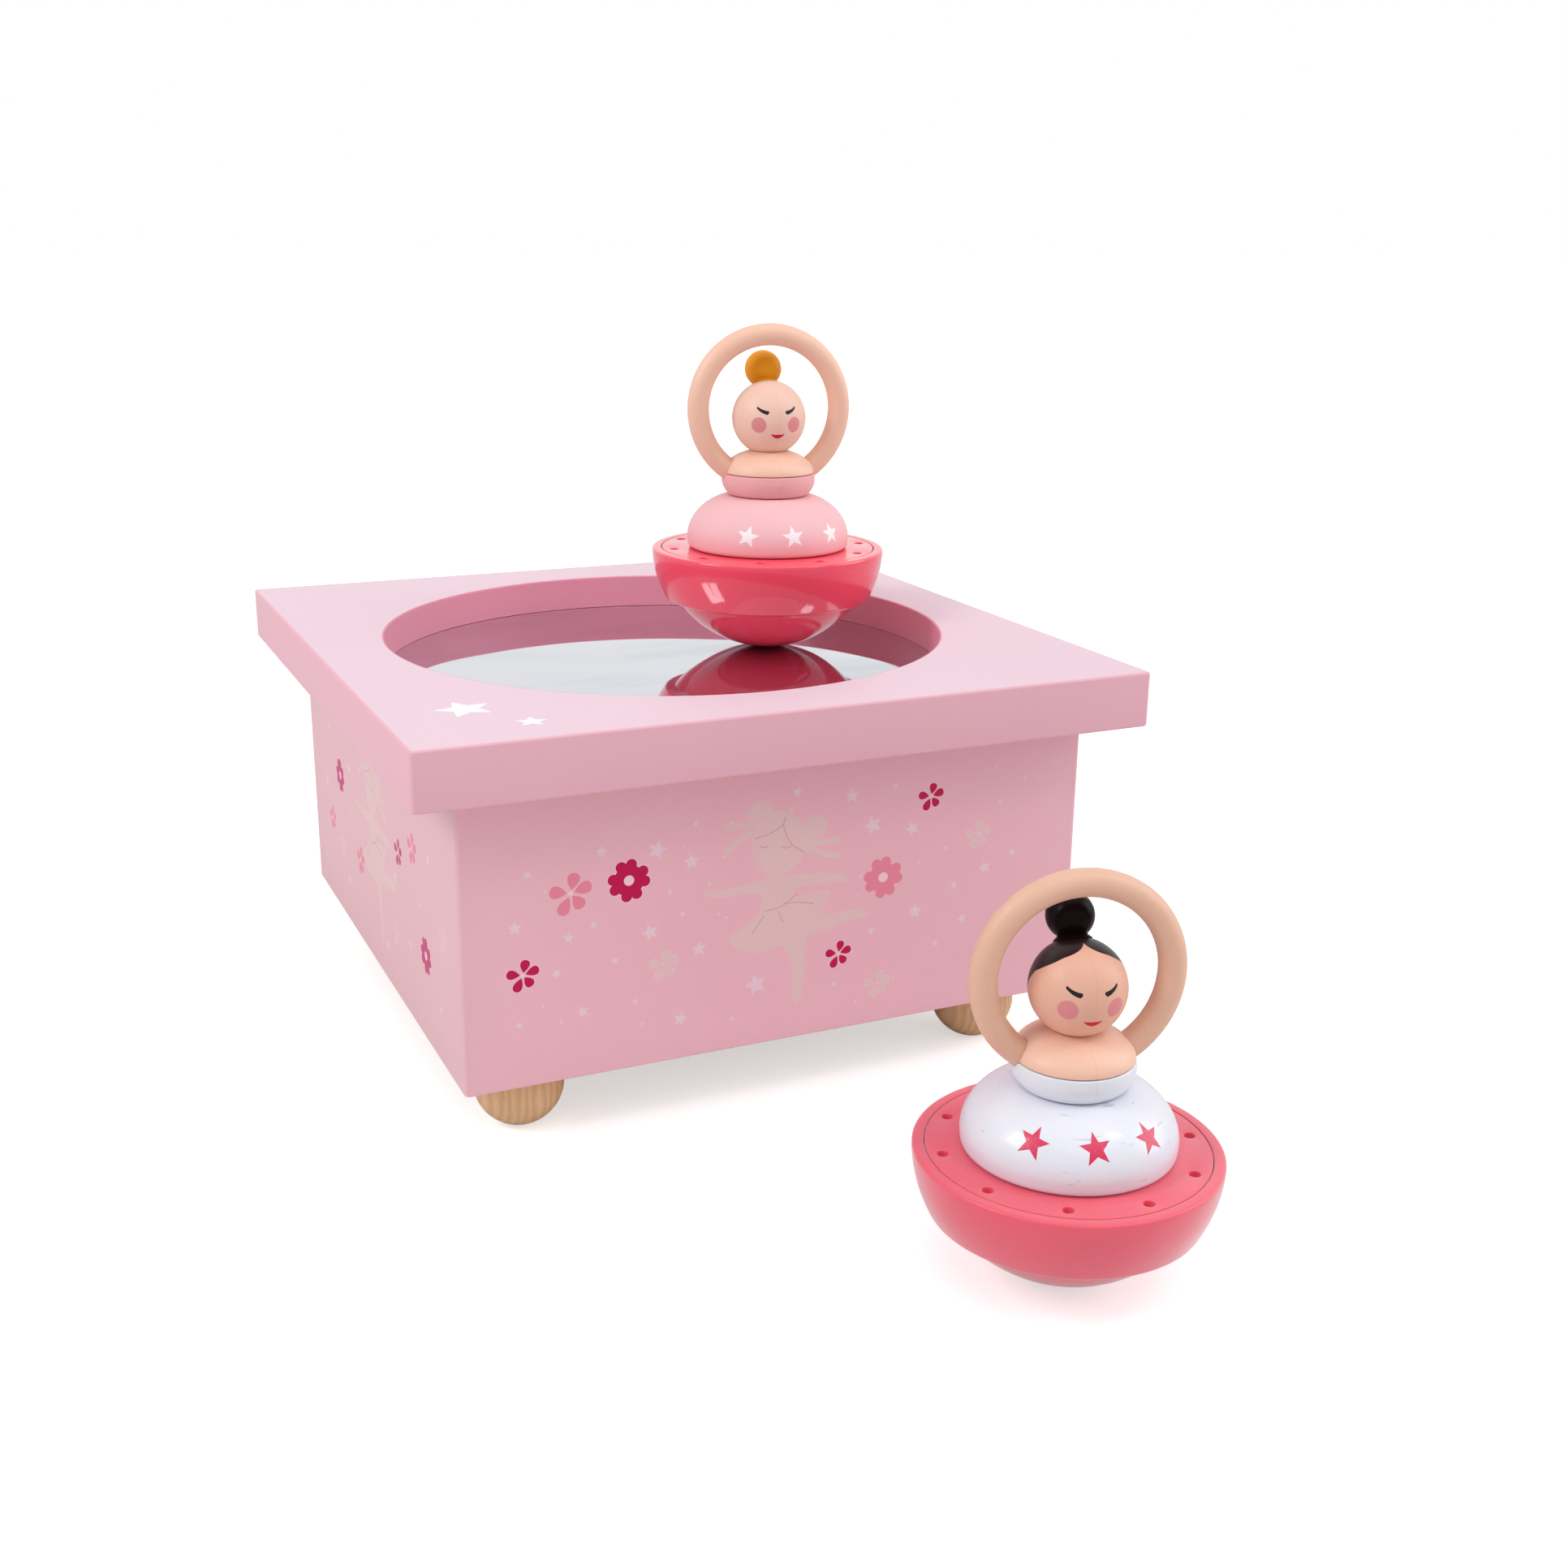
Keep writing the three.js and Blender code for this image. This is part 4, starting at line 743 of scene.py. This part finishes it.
def build_wall(name, node, turn, motifs, ink):
    """One wall of the case, mitred at 45 degrees, with half of each round corner. Its plan is drawn
    with the outward side along +Y, then turned about the middle of the case."""
    skin = Skin(ink)
    _, low, high = middle_of(node)
    bottom, top, corner, arris = low[2], high[2], 0.9, 0.35
    a = np.linspace(0, np.pi / 2, 5)
    levels = np.append(bottom + arris * (1 - np.cos(a)), top)
    insets = np.append(arris * (1 - np.sin(a)), 0)
    arc = np.linspace(np.pi / 4, np.pi / 2, 5)
    c, s = math.cos(turn), math.sin(turn)

    def at(x, y, z):
        return np.stack([CASE[0] + x * c - y * s, CASE[1] + x * s + y * c, z + 0 * x], -1)

    def plan(inset):
        r, hub = corner - inset, WALL_HALF - corner
        x, y = hub + r * np.cos(arc), hub + r * np.sin(arc)
        return (np.concatenate([[WALL_INNER], x, -x[::-1], [-WALL_INNER]]),
                np.concatenate([[WALL_INNER], y, y[::-1], [WALL_INNER]]))

    rows = np.stack([at(*plan(d), z) for d, z in zip(insets, levels)])
    count = rows.shape[1]
    last = len(levels) - 2
    face = count // 2 - 1  # the printed face's place in each row, left open below the print
    quads = [(r * count + k, r * count + (k + 1) % count,
              (r + 1) * count + (k + 1) % count, (r + 1) * count + k)
             for r in range(last + 1) for k in range(count) if (r, k) != (last, face)]
    skin.add(rows, quads)
    skin.add(rows[0], [range(count)], smooth=False)
    skin.add(rows[-1], [range(count)], smooth=False)
    reach, foot = WALL_HALF - corner, levels[-2]
    outline = np.array([(-reach, foot), (reach, foot), (reach, top), (-reach, top)])
    moved = [(points + (0, top), colour) for points, colour in motifs]
    points, faces, inks = printed(outline, ink, moved)
    skin.add(at(-points[:, 0], np.full(len(points), WALL_HALF), points[:, 1]), faces, inks=inks,
             smooth=False)
    skin.piece(name, FINISHES["panel"], "case", node)


def build_feet():
    """Turned ball feet: a ball flat where it rests, a small shoulder, and a tenon into the bottom."""
    radius, rest, tenon, shoulder = 7.1, 2.6, 3.0, 10.7
    low = math.sqrt(radius ** 2 - rest ** 2)
    a = np.linspace(math.atan2(-low, rest), math.asin((shoulder - low) / radius), 28)
    ball = plain(radius * np.cos(a), low + radius * np.sin(a))
    profile = softened([(0, 0, 0), *ball, (tenon, shoulder, 0.2), (tenon, shoulder + 4, 0.3),
                        (0, shoulder + 4, 0)])
    for corner in ("front_left", "front_right", "back_left", "back_right"):
        centre, low_corner, _ = middle_of(f"foot_{corner}")
        skin = lathed(profile, (centre[0], centre[1], low_corner[2]), 72)
        skin.piece(f"ball_foot_{corner}", FINISHES["beech"], "case", f"foot_{corner}")


def build_case():
    build_lid()
    build_mirror()
    long_face, short_face = face_print(), side_print()
    half = math.pi / 2
    # The left and right walls take the paler side ink: painted light on their faces.
    for name, node, turn, motifs, ink in (
            ("front_wall", "front_panel", 2 * half, long_face, "panel"),
            ("back_wall", "back_panel", 0, long_face, "panel"),
            ("left_wall", "left_panel", half, short_face, "side"),
            ("right_wall", "right_panel", -half, short_face, "side")):
        build_wall(name, node, turn, motifs, PINK[ink])
    build_feet()


# ---------- the dancers; heights are above the point each one stands on ----------
CAP, LEDGE, RIM, RIM_HEIGHT = 20.25, 16.7, 20.75, 18.0
LID_SEAT, LID_THICK, LID_GAP = 19.15, 1.6, 0.15
TENON, WAIST = 4.0, 7.3
SKIRT_FOOT, SKIRT_RISE = 18.1, 9.2
BODICE_FOOT, TORSO_FOOT, HEAD_MIDDLE, ARMS_MIDDLE = 27.4, 31.3, 40.8, 42.4
ARMS_RADIUS, ARMS_TUBE, ARMS_SLOT = 12.75, 1.9, 1.95


def build_bowl(who, base, shell):
    """A ball's cap, a ledge, a band that swells to the rim (its radius grows evenly plus 2.2 t (1 - t)),
    the ring that holds the lid, and the hollow inside."""
    a = np.linspace(0, math.asin(LEDGE / CAP), 34)[:-1]
    t = np.linspace(0, 1, 14)[1:-1]
    b = np.linspace(math.asin(15.3 / 18.25), 0, 24)
    ledge, seat = 8.8, RIM_HEIGHT - LID_THICK - 0.1
    profile = softened([
        *plain(CAP * np.sin(a), CAP * (1 - np.cos(a))), (LEDGE, ledge, 0.12), (18.4, ledge + 0.05, 0.55),
        *plain(18.4 + 2.35 * t + 2.2 * t * (1 - t), ledge + 0.1 + (RIM_HEIGHT - ledge - 0.5) * t),
        (RIM, RIM_HEIGHT, 0.5), (LID_SEAT, RIM_HEIGHT, 0.12), (LID_SEAT, seat, 0),
        (17.75, seat, 0), (17.6, 12.4, 0),
        *plain(18.25 * np.sin(b), CAP - 18.25 * np.cos(b)),
    ], 5)
    lathed(profile, base, 160).piece(f"{who}_bowl_shell", shell, who, f"{who}_bowl")


def build_bowl_lid(who, base, facing, shell):
    """A thin disc with a soft edge and ten blind holes on one circle."""
    radius, arris, bore, depth, circle, holes = LID_SEAT - LID_GAP, 0.14, 0.8, 1.0, 17.1, 10
    edge = softened([(radius - 1, -LID_THICK, 0), (radius, -LID_THICK, arris), (radius, 0, arris),
                     (radius - 1, 0, 0)])[1:-1]
    top = above(base, RIM_HEIGHT)
    skin = Skin().grid(turned(edge, top, 160))
    spots = facing + 2 * np.pi * (np.arange(holes) + 0.5) / holes
    wall = softened([(bore + 1, 0, 0), (bore, 0, 0.14), (bore, -depth, 0.2), (0, -depth, 0)], 4)[1:]
    rings = []
    for angle in spots:
        x, y = circle * math.cos(angle), circle * math.sin(angle)
        skin.grid(turned(wall, (top[0] + x, top[1] + y, top[2]), 20))
        rings.append(ring(wall[0][0], x, y, 20))
    for height, around, cuts in ((0.0, ring(edge[-1][0], sides=160), rings),
                                 (-LID_THICK, ring(edge[0][0], sides=160), [])):
        points, faces, inks = printed(around, WHITE, (), cuts)
        skin.add(lifted(points + top[:2], top[2] + height), faces, inks=inks, smooth=False)
    skin.piece(f"{who}_pierced_lid", shell, who, f"{who}_bowl_lid")


def skirt_profile():
    """A round foot, then a dome: radius = waist + 7.15 cos(a)^1.3 and height = 1.9 + 7.3 sin a."""
    a = np.linspace(0, np.pi / 2, 40)
    dome = plain(WAIST + 7.15 * np.maximum(np.cos(a), 0) ** 1.3, 1.9 + (SKIRT_RISE - 1.9) * np.sin(a))
    top, deep = SKIRT_RISE, SKIRT_RISE - 2.6
    return softened([(0, 0, 0), (14.3, 0, 0.9), *dome, (TENON + 0.15, top, 0.1), (TENON + 0.15, deep, 0),
                     (0, deep, 0)])


def build_skirt(who, base, facing, paint):
    skin = lathed(skirt_profile(), above(base, SKIRT_FOOT), 144, facing - np.pi)
    skin.piece(f"{who}_dome_skirt", paint, who, f"{who}_skirt")


def arms_points(base, facing, tube, around=96, section=24):
    """A ring of round section upright across the figure: the middle of the section goes round a circle
    in the plane of the side and up directions, and each section point lies at tube from it."""
    t = np.linspace(0, 2 * np.pi, around, endpoint=False)[:, None, None]
    s = np.linspace(0, 2 * np.pi, section, endpoint=False)[None, :, None]
    side = np.array([-math.sin(facing), math.cos(facing), 0])
    front = np.array([math.cos(facing), math.sin(facing), 0])
    out = np.cos(t) * side + np.sin(t) * np.array([0, 0, 1.0])
    return above(base, ARMS_MIDDLE) + out * (ARMS_RADIUS + tube * np.cos(s)) + front * (tube * np.sin(s))


def cutter(points):
    """A closed grid as a bare object, used once to carve a piece and then removed."""
    skin = Skin().grid(points, loop=True)
    mesh = bpy.data.meshes.new("cutter")
    mesh.from_pydata((np.concatenate(skin.points) * MM).tolist(), [], skin.faces)
    welded(mesh)
    obj = bpy.data.objects.new("cutter", mesh)
    bpy.context.scene.collection.objects.link(obj)
    return obj


def carve(piece, *cutters):
    """Takes the cutters out of a piece and keeps the result as its mesh."""
    for tool in cutters:
        step = piece.modifiers.new("carve", "BOOLEAN")
        step.operation, step.solver, step.object = "DIFFERENCE", "EXACT", tool
    bpy.context.view_layer.update()
    seen = piece.evaluated_get(bpy.context.evaluated_depsgraph_get())
    carved = bpy.data.meshes.new_from_object(seen)
    piece.modifiers.clear()
    piece.data = carved
    carved.set_sharp_from_angle(angle=CREASE)
    for tool in cutters:
        bpy.data.objects.remove(tool)


def ball_points(centre, radius, sides):
    a = np.linspace(-np.pi / 2, np.pi / 2, sides // 2 + 1)
    return turned(np.stack([radius * np.cos(a), radius * np.sin(a)], 1), centre, sides)


def build_bodice(who, base, facing, paint):
    """A squat ring that flares from the waist to its widest at seven tenths, with a tenon below."""
    rise = 3.8
    t = np.linspace(0, 1, 22)
    flare = np.where(t < 0.7, 7.0 + 1.3 * (1 - (1 - t / 0.7) ** 2), 8.3 - 0.12 * ((t - 0.7) / 0.3) ** 2)
    profile = softened([(0, -2.5, 0), (TENON, -2.5, 0.2), (TENON, 0, 0), (6.8, 0, 0.1),
                        *plain(flare[1:-1], rise * t[1:-1]), (8.18, rise, 0.18), (0, rise, 0)])
    skin = lathed(profile, above(base, BODICE_FOOT), 128, facing - np.pi)
    piece = skin.piece(f"{who}_flared_bodice", paint, who, f"{who}_bodice")
    carve(piece, cutter(arms_points(base, facing, ARMS_SLOT)))


def build_torso(who, base, facing, paint):
    """Low shoulders: radius 8.1 cos a and height 4.2 sin a, slotted for the arms and dished for the
    head."""
    rise = 4.2
    a = np.linspace(0.04, np.radians(72), 26)
    profile = softened([(0, 0, 0), (8.0, 0, 0.16), *plain(8.1 * np.cos(a), rise * np.sin(a)),
                        (2.0, rise, 0.4), (0, rise, 0)])
    skin = lathed(profile, above(base, TORSO_FOOT), 128, facing - np.pi)
    piece = skin.piece(f"{who}_shoulders", paint, who, f"{who}_torso")
    carve(piece, cutter(arms_points(base, facing, ARMS_SLOT)),
          cutter(ball_points(above(base, HEAD_MIDDLE), HEAD_RADIUS + 0.04, 64)))


def build_head(who, base, facing, paint):
    a = np.linspace(-np.pi / 2, np.pi / 2, 65)
    profile = np.stack([HEAD_RADIUS * np.cos(a), HEAD_RADIUS * np.sin(a)], 1)
    ball = turned(profile, above(base, HEAD_MIDDLE), 128, facing - np.pi)
    skin = Skin().grid(ball, along=(a + np.pi / 2) * HEAD_RADIUS)
    skin.piece(f"{who}_round_head", paint, who, f"{who}_head")


def build_bun(who, base, facing, paint):
    """A ball of hair on a short flared neck that sits on the head. The profile is turned about the line
    from the head's middle to the bun's, so heights along it are distances from the head's middle."""
    back, rise, radius = 4.7, 8.1, 3.25
    away = math.hypot(back, rise)
    seat = HEAD_RADIUS + 0.05
    b = np.linspace(0, math.asin(2.55 / seat), 8)
    a = np.linspace(-0.92, np.pi / 2, 40)
    profile = softened([*plain(seat * np.sin(b), seat * np.cos(b)),
                        (2.6, seat * math.cos(b[-1]) + 0.12, 0.05), (2.08, 6.62, 0.3),
                        *plain(radius * np.cos(a), away + radius * np.sin(a))])
    local = turned(profile, (0, 0, 0), 72, np.pi) @ np.array(
        Matrix.Rotation(math.atan2(back, rise), 3, "Y")) @ np.array(Matrix.Rotation(-facing, 3, "Z"))
    skin = Skin().grid(local + above(base, HEAD_MIDDLE), along=lengths(profile))
    skin.piece(f"{who}_hair_bun", paint, who, f"{who}_bun")


def build_arms(who, base, facing, paint):
    skin = Skin().grid(arms_points(base, facing, ARMS_TUBE, 144, 28), loop=True)
    skin.piece(f"{who}_arm_ring", paint, who, f"{who}_arms")


def build_dancer(who, facing_degrees, shell, skirt, bodice, head, bun, arms):
    centre, low, _ = middle_of(f"{who}_bowl")
    base = (centre[0], centre[1], low[2])
    facing = math.radians(facing_degrees)
    build_bowl(who, base, FINISHES[shell])
    build_bowl_lid(who, base, facing, FINISHES[shell])
    build_skirt(who, base, facing, skirt)
    build_bodice(who, base, facing, FINISHES[bodice])
    build_torso(who, base, facing, FINISHES["skin"])
    build_head(who, base, facing, head)
    build_bun(who, base, facing, FINISHES[bun])
    build_arms(who, base, facing, FINISHES[arms])


skirt_path = skirt_profile()
outer = skirt_path[:int(np.argmax(skirt_path[:, 1]))]
star_rise = lambda height: float(np.interp(height - SKIRT_FOOT, outer[:, 1], lengths(outer)))
build_case()
build_dancer(
    "dancer_a", 259.3, "coral_gloss",
    starred_skirt("rose_skirt", "f4c2c7", "efb8bd", "f9f5f8", roughness=0.62, stars=11, middle=4.7,
                  rise=star_rise(21.9), size=4.1, coat=0.0, scuffs=False),
    "rose", face_paint("pale_face", "f3cdbc", "edc2b0"), "yellow_bun", "skin")
build_dancer(
    "dancer_b", 254.8, "coral_satin",
    starred_skirt("white_skirt", "eaebf4", "e0e1ec", "d6104f", roughness=0.36, stars=10, middle=-3.7,
                  rise=star_rise(24.2), size=4.8, coat=0.25, scuffs=True),
    "white", face_paint("parted_face", "ebb8a2", "e4ac95", ("2a0d12", "18070a")), "dark_bun",
    "warm_skin")

# ---------- the movement and the bottom keep their shapes ----------
CAD_FINISHES = {
    "board": ["bottom_panel"],
    "zinc": ["bedplate", "bridge", "comb_base"],
    "steel": ["movement_screw_1", "movement_screw_2", "movement_screw_3", "comb", "click_spring",
              "winding_arbor", "winding_key", "spring_barrel", "mainspring", "cylinder_shaft",
              "governor_worm", "dancer_a_weight", "dancer_b_weight"],
    "brass": ["comb_screw_1", "comb_screw_2", "governor_frame", "pinned_cylinder", "governor_arbor"],
    "nylon": ["rotor_gear", "magnet_arm", "governor_fan"],
    "magnet": ["rotor_magnet_near", "rotor_magnet_far", "dancer_a_magnet", "dancer_b_magnet"],
}
for key, nodes in CAD_FINISHES.items():
    for node in nodes:
        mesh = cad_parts[node].data
        mesh.materials.clear()
        mesh.materials.append(FINISHES[key].material)


# ---------- table, light and camera ----------
def stage_floor():
    """A plain pale table top that reaches past the view."""
    mesh = bpy.data.meshes.new("table_top")
    reach, low = 6.0, -0.00002
    corners = [(-reach, -reach, low), (reach, -reach, low), (reach, reach, low), (-reach, reach, low)]
    mesh.from_pydata(corners, [], [(0, 1, 2, 3)])
    floor = bpy.data.objects.new("table_top", mesh)
    bpy.context.scene.collection.objects.link(floor)
    f = Finish("pale_table", Roughness=0.9, Specular_IOR_Level=0.1, Emission_Strength=0.55)
    seen = f.node("ShaderNodeLightPath", out="Is Camera Ray")
    f.feed(Base_Color=f.mix(f.noise(40, 3.0), tint("e2e2e2"), tint("e6e6e6")),
           Emission_Color=f.mix(seen, tint("000000"), WHITE))
    mesh.materials.append(f.material)


def light(name, kind, way, strength, size, spot=(0, 0, 1)):
    """A lamp that shines from the given direction. An area lamp stands at spot and is size metres
    wide, and a sun is size radians wide."""
    data = bpy.data.lights.new(name, kind)
    data.energy = strength
    if kind == "SUN":
        data.angle = size
    else:
        data.shape, data.size, data.size_y = "RECTANGLE", *size
    lamp = bpy.data.objects.new(name, data)
    lamp.rotation_mode = "QUATERNION"
    lamp.rotation_quaternion = Vector(way).to_track_quat("Z", "Y")
    lamp.location = spot
    bpy.context.scene.collection.objects.link(lamp)
    return lamp


def studio():
    """White all round, half as strong where it lights a surface, with two wide suns and four lamps."""
    world = bpy.data.worlds.new("studio")
    world.use_nodes = True
    sky = Nodes(world.node_tree)
    back = sky.tree.nodes["Background"]
    back.inputs["Color"].default_value = WHITE
    strength = 1 - sky.node("ShaderNodeLightPath", out="Is Diffuse Ray") * 0.5
    sky.tree.links.new(strength.socket, back.inputs["Strength"])
    bpy.context.scene.world = world
    light("key", "SUN", (-0.05, -0.3, 0.95), 0.7, math.radians(60))
    light("side", "SUN", (0.9, -0.3, 0.4), 0.95, math.radians(40))
    middle = Vector((CASE[0], CASE[1], lid_high[2])) * MM
    for name, way, power, size in (("left_pane", (-0.8, -0.085, 0.6), 1.1, (0.11, 0.3)),
                                   ("right_pane", (-0.8, 0.065, 0.6), 1.1, (0.11, 0.3)),
                                   ("small_window", (0.42, -0.5, 0.75), 0.55, (0.13, 0.13))):
        light(name, "AREA", way, power, size, middle + Vector(way) * 0.8)
    # The light that the mirror throws back up: a round lamp just over it, unseen itself.
    over_mirror = Vector((CASE[0], CASE[1], mirror_high[2] + 0.2)) * MM
    up = light("mirror_glow", "AREA", (0, 0, 1), 0.06, (0.094, 0.094), over_mirror)
    up.data.shape = "DISK"
    up.visible_camera = up.visible_glossy = False
    bpy.context.scene.view_settings.view_transform = "Standard"


def camera():
    """The view from the front left, a little above the lid, rolled by less than a degree."""
    data = bpy.data.cameras.new("camera")
    data.sensor_width, data.lens = 36.0, 41.852
    data.clip_start, data.clip_end = 0.01, 50.0
    cam = bpy.data.objects.new("camera", data)
    azimuth, elevation, roll = np.radians((-25.2555, 17.1929, 0.7857))
    back = Vector((math.sin(azimuth) * math.cos(elevation), -math.cos(azimuth) * math.cos(elevation),
                   math.sin(elevation)))
    right = Vector((0, 0, 1)).cross(back).normalized()
    up = back.cross(right)
    c, s = math.cos(roll), math.sin(roll)
    right, up = c * right + s * up, c * up - s * right
    lid_top = Vector((CASE[0], CASE[1], lid_high[2])) * MM
    cam.matrix_world = Matrix.Translation(lid_top + Vector((-0.11411, -0.29170, 0.06827))) @ Matrix(
        (right, up, back)).transposed().to_4x4()
    bpy.context.scene.collection.objects.link(cam)
    bpy.context.scene.camera = cam


stage_floor()
studio()
camera()
